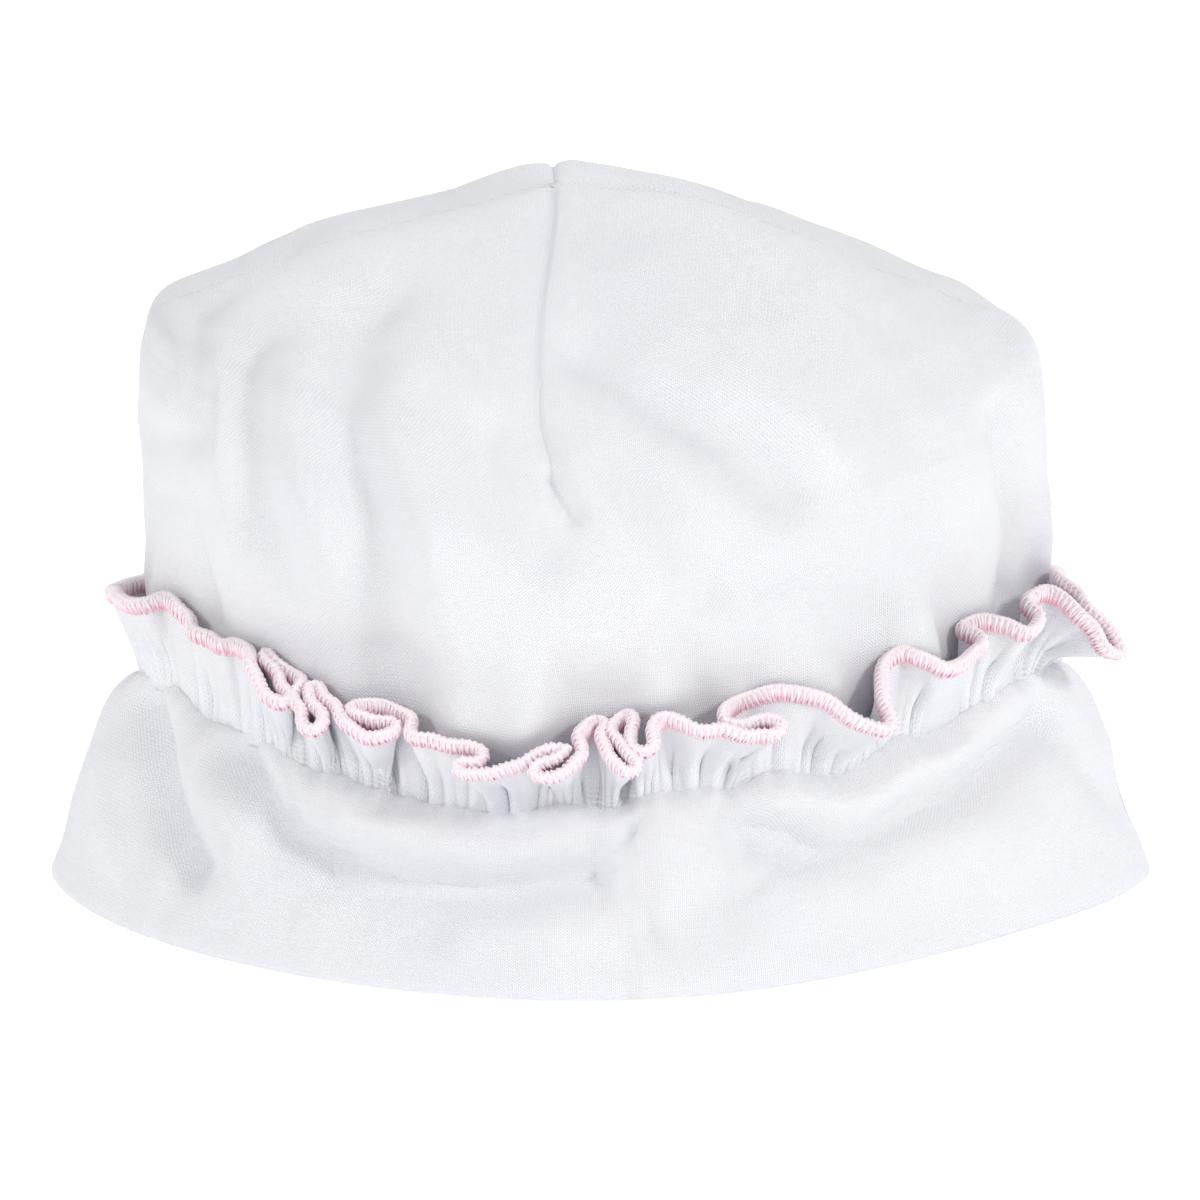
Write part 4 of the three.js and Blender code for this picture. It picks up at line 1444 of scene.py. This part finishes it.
@dataclass
class RufflePath:
    """The ruffle's free edge: a closed run of folds, each point with its foot on the cuff's top edge.

    Sizes are in millimetres and a level is a share of the height. The foot is sunk below the seam, and the
    cloth has come up to the lip at the free level. The back repeats the front's folds between two angles,
    with a share of their lean.
    """

    height: float = 13.5
    foot_inset: float = 0.95
    sunk: float = 2.6
    lip: float = 0.4
    free_level: float = 0.25
    stem: float = 1.3
    stem_level: float = 0.08
    count: int = 1500
    base_count: int = 2880
    knot_steps: int = 12
    fold_blur: float = 0.45
    gather_spread: float = 9.0
    repeated: tuple[float, float] = (-141.0, -41.0)
    back_lean: float = 0.85
    stand_reach: int = 3
    stand_blur: float = 1.5
    frame_step: float = 0.04
    ripple_seed: int = 32
    ripple_rise: float = 5.0
    foot_ripple: float = 0.4
    tuck_depth: float = 1.15
    tuck_spread: float = 0.8
    search: EdgeSearch = EdgeSearch()

    def __post_init__(self) -> None:
        """Works out the base line and the folds."""
        self.gathers = Gathers()
        deg = np.linspace(-180, 180, self.base_count + 1)
        half = np.broadcast_to(TOP_EDGE.array() - self.foot_inset, (len(deg), 4))
        level = plan(deg, half)
        height = top_height(deg)[:, None]
        self.base_deg = deg
        self.base_run = run_along(level)
        self.length = float(self.base_run[-1])
        front = deg <= 0
        seam = np.concatenate([level, height], axis=-1)[front]
        tucks = np.interp(TUCKS_READ, PhotoCamera().seen(seam)[:, 0], deg[front])
        self.gathers.add_long(self.run_at(tucks) / self.length)
        self.base = np.concatenate([level, height - self.sunk, plan_outward(deg, half)], axis=-1)
        self.fold()

    def run_at(self, deg: np.ndarray) -> np.ndarray:
        """Length along the base line at each angle, counted on past a full turn."""
        turns = np.floor((deg + 180) / 360)
        return np.interp(deg - 360 * turns, self.base_deg, self.base_run) + turns * self.length

    def base_at(self, run: np.ndarray) -> np.ndarray:
        """Base points and outward directions at lengths along the base line."""
        run = np.mod(run, self.length)
        return np.stack([np.interp(run, self.base_run, self.base[:, i]) for i in range(5)], axis=-1)

    def stand_out(self, deg: np.ndarray) -> np.ndarray:
        """How far the nearest fold's edge stands out from the base line.

        Args:
            deg: Angles round the hat.

        Returns:
            The distance at each angle, in millimetres.
        """
        bins = int(self.length)
        nearest = np.full(bins, np.inf)
        place = (np.mod(self.run, self.length) / self.length * bins).astype(int) % bins
        np.minimum.at(nearest, place, self.lean)
        around = range(-self.stand_reach, self.stand_reach + 1)
        nearest = np.minimum.reduce([np.roll(nearest, shift) for shift in around])
        nearest = np.append(nearest, nearest[0])
        reach = self.height * np.sin(self.blur(nearest, self.stand_blur))
        return np.interp(self.run_at(deg) % self.length, np.linspace(0, self.length, bins + 1), reach)

    def front_turns(self) -> np.ndarray:
        """Works out which angles and leans show the edge where it was read off the photograph.

        Returns:
            Angle and lean in degrees for each point that was read.
        """
        search = self.search
        deg = np.arange(search.first_angle, search.last_angle, search.angle_step)
        lean = np.arange(search.least_lean, search.most_lean, search.lean_step)
        at = self.base_at(self.run_at(deg))[:, None]
        places = np.empty((len(deg), len(lean), 3))
        places[..., :2] = at[..., :2] + at[..., 3:] * (self.height * np.sin(np.radians(lean)))[:, None]
        places[..., 2] = at[..., 2] + self.height * np.cos(np.radians(lean)) + self.sunk - self.lip
        seen = PhotoCamera().seen(places)
        turns = [np.array(LEFT_TURN[-1], dtype=float)]
        for point in EDGE_READ:
            miss = np.linalg.norm(seen - point, axis=-1)
            jump = np.hypot(deg[:, None] - turns[-1][0], search.lean_weight * (lean - turns[-1][1]))
            jump[miss > max(search.good_miss, miss.min() + search.spare_miss)] = np.inf
            row, column = np.unravel_index(np.argmin(jump), jump.shape)
            turns.append(np.array([deg[row], lean[column]]))
        return np.array(turns[1:])

    def fold(self) -> None:
        """Lays the folds out along the base line."""
        front = np.concatenate([LEFT_TURN, self.front_turns(), RIGHT_TURN])
        first, last = self.repeated
        repeated = front[(front[:, 0] > first) & (front[:, 0] < last)]
        back = np.stack([repeated[:, 0] + 180, repeated[:, 1] * self.back_lean], axis=-1)
        turns = np.concatenate([front, RIGHT_JOIN, back, LEFT_JOIN])
        knots = np.stack([self.run_at(turns[:, 0]), turns[:, 1]], axis=-1)
        n = len(knots)
        ringed = np.concatenate([knots[-2:] - [self.length, 0], knots, knots[:3] + [self.length, 0]])
        path = smooth_rows(ringed, np.linspace(2, n + 2, n * self.knot_steps + 1))
        arc = np.radians(path[:, 1]) * self.height
        steps = np.hypot(np.diff(path[:, 0]), np.diff(arc))
        length = np.concatenate([[0.0], np.cumsum(steps)])
        self.edge_length = float(length[-1])
        self.edge = np.linspace(0, self.edge_length, self.count + 1)
        run, arc = np.interp(self.edge, length, path[:, 0]), np.interp(self.edge, length, arc)
        spacing = self.edge_length / self.count
        drift = self.edge / self.edge_length * self.length
        self.run = drift + self.blur(run - drift, self.fold_blur / spacing)
        self.lean = self.blur(arc, self.fold_blur / spacing) / self.height
        self.foot = drift + self.blur(self.run - drift, self.gather_spread / spacing)

    def blur(self, values: np.ndarray, width: float) -> np.ndarray:
        """Closed running average of bell weights.

        Args:
            values: Values along the edge, the last one repeating the first.
            width: Spread of the bell in steps.

        Returns:
            The smoothed values, closed again.
        """
        ring = values[:-1]
        places = np.minimum(np.arange(len(ring)), len(ring) - np.arange(len(ring)))
        bell = np.exp(-0.5 * (places / max(width, 1e-6)) ** 2)
        smooth = np.real(np.fft.ifft(np.fft.fft(ring) * np.fft.fft(bell / bell.sum())))
        return np.append(smooth, smooth[0])

    def points(self, level: float) -> np.ndarray:
        """The ruffle's middle layer at a level, 0 on the cuff and 1 at the free edge.

        Args:
            level: Share of the ruffle's height.

        Returns:
            Points in millimetres along the edge.
        """
        at = self.base_at(self.foot * (1 - level) + self.run * level)
        out = self.height * np.sin(self.lean) * level
        stem = self.stem * np.sin(self.lean) * (1 - math.exp(-level / self.stem_level)) * (1 - level)
        lift = (self.sunk - self.lip) * min(1.0, level / self.free_level)
        places = at[:, :3].copy()
        places[:, :2] += at[:, 3:] * out[:, None]
        places[:, 2] += self.height * np.cos(self.lean) * level + stem + lift
        return places

    def pleats(self, level: float) -> np.ndarray:
        """Tucks near the foot and a gentle wave near the edge, out of the cloth's plane.

        Args:
            level: Share of the ruffle's height.

        Returns:
            Heights in millimetres along the edge.
        """
        turn = self.edge / self.edge_length * 2 * np.pi
        rng = np.random.default_rng(self.ripple_seed)
        broad = BROAD_RIPPLE.along(turn, rng) * (self.foot_ripple + (1 - self.foot_ripple) * level)
        fine = FINE_RIPPLE.along(turn, rng) * (1 - level)
        tucks = self.gathers.tucks(self.foot / self.length, self.length, 1 + self.tuck_spread * level, level)
        return min(1.0, level * self.ripple_rise) * (broad + fine - self.tuck_depth * tucks)

    def frames(self, level: float) -> tuple[np.ndarray, np.ndarray, np.ndarray]:
        """The ruffle's middle layer with its tucks and waves.

        Args:
            level: Share of the ruffle's height.

        Returns:
            Points in millimetres along the edge, and directions up the cloth and out of it.
        """
        here = self.points(level)
        ring = np.concatenate([here[-2:-1], here, here[1:2]])
        along = unit(ring[2:] - ring[:-2])
        above, below = min(level + self.frame_step, 1.0), max(level - self.frame_step, 0.0)
        out = unit(np.cross(along, unit(self.points(above) - self.points(below))))
        return here + out * self.pleats(level)[:, None], unit(np.cross(out, along)), out

    def edge_frames(self, at: np.ndarray) -> tuple[np.ndarray, np.ndarray, np.ndarray]:
        """The free edge at lengths along it.

        Args:
            at: Lengths in millimetres.

        Returns:
            Points in millimetres, and directions up the cloth and out of it.
        """
        here, up, out = (
            np.stack([np.interp(at, self.edge, values[:, i]) for i in range(3)], axis=-1)
            for values in self.frames(1.0)
        )
        return here, up, out


@dataclass
class Ruffle:
    """The gathered strip of knit sewn to the cuff's top edge. Its wall is in millimetres."""

    path: RufflePath
    rows: int = 18
    wall: float = 0.85

    def build(self) -> bpy.types.Object:
        """Lays the strip in its folds and gives it its wall.

        Returns:
            The finished piece.
        """
        levels = np.linspace(0, 1, self.rows + 1)
        places = np.array([self.path.frames(level)[0] for level in levels])
        grid = ClothGrid("ruffle_knit", self.path.count, self.rows)
        grid.lay(places)
        edge = np.broadcast_to(self.path.edge[None], places.shape[:2])
        up = np.broadcast_to(levels[:, None] * self.path.height, edge.shape)
        grid.mark_cloth(np.stack([edge, up], axis=-1))
        grid.close()
        apply_wall(grid.piece, self.wall, 0.0)
        grid.smooth()
        return grid.piece


def lay_tube(
    name: str,
    line: np.ndarray,
    away: np.ndarray,
    radius: np.ndarray,
    low: np.ndarray,
    sides: int,
    length: float,
) -> bpy.types.Object:
    """Lays a closed tube along a thread's line.

    Args:
        name: Name of the piece.
        line: The thread's middle line in millimetres, its last point on its first.
        away: Directions away from the cloth, where the tube's first side lies.
        radius: Radius at each point.
        low: How low each point lies, from 0 to 1, which its colour follows.
        sides: Faces round the tube.
        length: Length of the edge that the thread covers.

    Returns:
        The finished piece.
    """
    ring = np.concatenate([line[-2:-1], line, line[1:2]])
    along = unit(ring[2:] - ring[:-2])
    guide = unit(away - along * np.sum(away * along, axis=-1, keepdims=True))
    side = np.cross(along, guide)
    turn = np.linspace(0, -2 * np.pi, sides + 1)
    places = np.array([line + (guide * math.cos(t) + side * math.sin(t)) * radius[:, None] for t in turn])
    grid = ClothGrid(name, len(line) - 1, sides)
    grid.lay(places)
    marks = np.stack([np.linspace(0, length, len(line)), low], axis=-1)
    grid.mark_cloth(np.broadcast_to(marks, (sides + 1, *marks.shape)))
    grid.close(THREAD_WELD_GAP)
    grid.smooth()
    return grid.piece


@dataclass
class EdgingWrap:
    """Pink thread wrapped round the ruffle's edge in close slanted turns, down to a row of points.

    Sizes are in millimetres and the shift in turns. No two turns lie or reach quite alike. The two slants'
    threads differ in reach by twice the crossing, so that one passes over the other.
    """

    path: RufflePath
    slant: Slant
    pitch: float = 0.88
    steps: int = 12
    sides: int = 5
    radius: float = 0.215
    half_reach: float = 1.17
    half_thick: float = 0.84
    drop: float = 0.3
    crossing: float = 0.06
    squareness: float = 0.6
    shift: float = 0.2
    unevenness: float = 0.16
    uneven_below: float = -0.2
    seed: int = 44

    def line(self) -> tuple[np.ndarray, np.ndarray, np.ndarray]:
        """Where the thread runs.

        Returns:
            Its middle line in millimetres, the directions away from the edge, and how low each point is from
            0 to 1.
        """
        turns = int(round(self.path.edge_length / self.pitch))
        whole = np.arange(turns + 1)
        phase = np.linspace(0, turns, turns * self.steps + 1)
        rng = np.random.default_rng(self.seed + self.slant.value)
        shift = np.interp(phase, whole, rng.uniform(-self.shift, self.shift, turns + 1))
        uneven = np.interp(phase, whole, rng.uniform(-self.unevenness, self.unevenness, turns + 1))
        at = np.clip(phase + shift, 0, turns) / turns * self.path.edge_length
        here, up, out = self.path.edge_frames(at)
        rise, swing = np.cos(2 * np.pi * phase), np.sin(2 * np.pi * phase)
        grow = self.crossing * self.slant.value
        height = (self.half_reach + grow) * rise - self.drop + uneven * (rise < self.uneven_below)
        side = np.sign(swing) * np.abs(swing) ** self.squareness * (self.half_thick + grow) * self.slant.value
        away = unit(up * rise[:, None] + out * (swing * self.slant.value)[:, None])
        return here + up * height[:, None] + out * side[:, None], away, 0.5 - 0.5 * rise

    def build(self) -> bpy.types.Object:
        """Lays a tube along the thread's line.

        Returns:
            The finished piece.
        """
        line, away, low = self.line()
        line[-1], away[-1] = line[0], away[0]
        name = f"edging_wrap_{self.slant.name.lower()}"
        radius = np.full(len(line), self.radius)
        return lay_tube(name, line, away, radius, low, self.sides, self.path.edge_length)


@dataclass
class EdgingChain:
    """The chain of small loops that runs along the very edge, in millimetres.

    Twice in each loop the thread lifts a little, grows thicker and takes a deeper colour.
    """

    path: RufflePath
    pitch: float = 0.96
    steps: int = 7
    sides: int = 6
    radius: float = 0.36
    swing: float = 0.36
    height: float = 0.72
    lift: float = 0.1
    thicker: float = 0.16
    low: float = 0.15

    def build(self) -> bpy.types.Object:
        """Lays a waving tube along the edge.

        Returns:
            The finished piece.
        """
        loops = int(round(self.path.edge_length / self.pitch))
        phase = np.linspace(0, loops, loops * self.steps + 1)
        here, up, out = self.path.edge_frames(phase / loops * self.path.edge_length)
        wave = 2 * np.pi * phase
        twice = np.cos(2 * wave)
        height, side = self.height + self.lift * twice, self.swing * np.sin(wave)
        line = here + up * height[:, None] + out * side[:, None]
        line[-1] = line[0]
        radius = self.radius * (1 + self.thicker * twice)
        low = self.low + self.low * twice
        return lay_tube("edging_chain", line, up, radius, low, self.sides, self.path.edge_length)


@dataclass
class EdgingCore:
    """The covered raw edge under the pink stitches, in millimetres, pale on top and deep below."""

    path: RufflePath
    half_height: float = 1.02
    half_thick: float = 0.8
    drop: float = 0.2
    sides: int = 8
    middle_depth: float = 0.55
    depth_swing: float = 0.45

    def build(self) -> bpy.types.Object:
        """Lays a flattened cord along the edge.

        Returns:
            The finished piece.
        """
        here, up, out = self.path.frames(1.0)
        turn = np.linspace(0, 2 * np.pi, self.sides + 1)
        rows = [
            here + up * (self.half_height * math.cos(t) - self.drop) + out * self.half_thick * math.sin(t)
            for t in turn
        ]
        grid = ClothGrid("edging_core", self.path.count, self.sides)
        grid.lay(np.array(rows))
        depth = np.clip(self.middle_depth - self.depth_swing * np.cos(turn), 0, 1)
        grid.mark_cloth(np.stack(np.broadcast_arrays(self.path.edge[None], depth[:, None]), axis=-1))
        grid.close()
        grid.smooth()
        return grid.piece


# The studio


@dataclass(frozen=True)
class SoftLight:
    """A large soft lamp that looks at the hat, in metres and watts."""

    name: str
    place: tuple[float, float, float]
    size: float
    power: float

    def add(self, target: Vector) -> None:
        """Adds the lamp.

        Args:
            target: Where it points.
        """
        nothing_picked()
        bpy.ops.object.light_add(type="AREA", location=self.place)
        lamp = bpy.context.active_object
        lamp.name = self.name
        lamp.data.size = self.size
        lamp.data.energy = self.power
        lamp.visible_camera = False
        lamp.rotation_euler = (target - Vector(self.place)).to_track_quat("-Z", "Y").to_euler()


LAMPS = (
    SoftLight("left_lamp", (-1.9, -1.3, 1.2), size=0.6, power=16.5),
    SoftLight("right_lamp", (1.8, -1.5, 1.4), size=0.5, power=25.0),
    SoftLight("back_lamp", (0.4, 1.8, 2.0), size=0.9, power=16.0),
)


@dataclass
class Studio:
    """Plain white floor, soft lamps, a pale surround and the camera, in metres."""

    view: PhotoCamera = PhotoCamera()
    floor_size: float = 6.0
    floor_drop: float = 0.0002
    sky: tuple[float, float, float] = (0.98, 0.985, 1.0)
    sky_strength: float = 0.65
    bounces: int = 16
    diffuse_bounces: int = 12

    def build(self) -> None:
        """Adds the floor, the light and the camera."""
        self.add_floor()
        aim = Vector(self.view.target)
        for lamp in LAMPS:
            lamp.add(aim)
        world = bpy.data.worlds.new("pale_room")
        world.use_nodes = True
        surround = world.node_tree.nodes["Background"].inputs
        surround["Color"].default_value = (*self.sky, 1.0)
        surround["Strength"].default_value = self.sky_strength
        scene = bpy.context.scene
        scene.world = world
        scene.view_settings.view_transform = "Standard"
        scene.cycles.max_bounces = self.bounces
        scene.cycles.diffuse_bounces = self.diffuse_bounces
        self.add_camera(aim)

    def add_floor(self) -> None:
        """Adds the floor, a hair below the hat's rim."""
        nothing_picked()
        bpy.ops.mesh.primitive_plane_add(size=self.floor_size, location=(0, 0, -self.floor_drop))
        floor = bpy.context.active_object
        floor.name = "floor"
        bpy.ops.object.transform_apply(location=True, rotation=False, scale=False)
        floor.data.materials.append(FloorFinish("white_paper").make())

    def add_camera(self, aim: Vector) -> None:
        """Adds the camera in front of the hat, looking slightly down.

        Args:
            aim: Where it points.
        """
        tilt = math.radians(self.view.elevation)
        place = aim + Vector((0, -math.cos(tilt), math.sin(tilt))) * self.view.distance
        nothing_picked()
        bpy.ops.object.camera_add(location=place)
        camera = bpy.context.active_object
        camera.name = "photo_camera"
        camera.data.lens = self.view.lens
        camera.data.sensor_width = self.view.sensor
        camera.data.clip_end = self.view.clip_end
        camera.rotation_euler = (aim - place).to_track_quat("-Z", "Y").to_euler()
        bpy.context.scene.camera = camera


def own(piece: bpy.types.Object, material: bpy.types.Material, node: str) -> None:
    """Puts a piece on the hat's one body, its finish and the CAD node it takes the place of.

    Args:
        piece: The finished piece.
        material: Its finish.
        node: Name of the CAD node that it replaces.
    """
    piece.data.materials.clear()
    piece.data.materials.append(material)
    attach(piece, "root")
    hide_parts(node)
    LOG.info("%s: %d faces", piece.name, len(piece.data.polygons))


def main() -> None:
    """Builds the hat and its studio."""
    logging.basicConfig(level=logging.INFO, format="%(name)s %(message)s")
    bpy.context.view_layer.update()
    path = RufflePath()
    crown = Crown(path).build()
    own(crown, KnitFinish("crown_interlock").make(), "crown")
    cuff = Cuff(path).build()
    own(cuff, KnitFinish("cuff_interlock").make(), "cuff")
    ruffle = Ruffle(path).build()
    own(ruffle, KnitFinish("ruffle_interlock").make(), "ruffle")
    thread = ThreadFinish("pink_thread").make()
    for slant in Slant:
        own(EdgingWrap(path, slant).build(), thread, "ruffle_edging")
    own(EdgingChain(path).build(), thread, "ruffle_edging")
    core = EdgingCore(path).build()
    own(core, thread, "ruffle_edging")
    LOG.info("ruffle edge %.0f mm on a base of %.0f mm", path.edge_length, path.length)
    Studio().build()


if __name__ == "__main__":
    main()
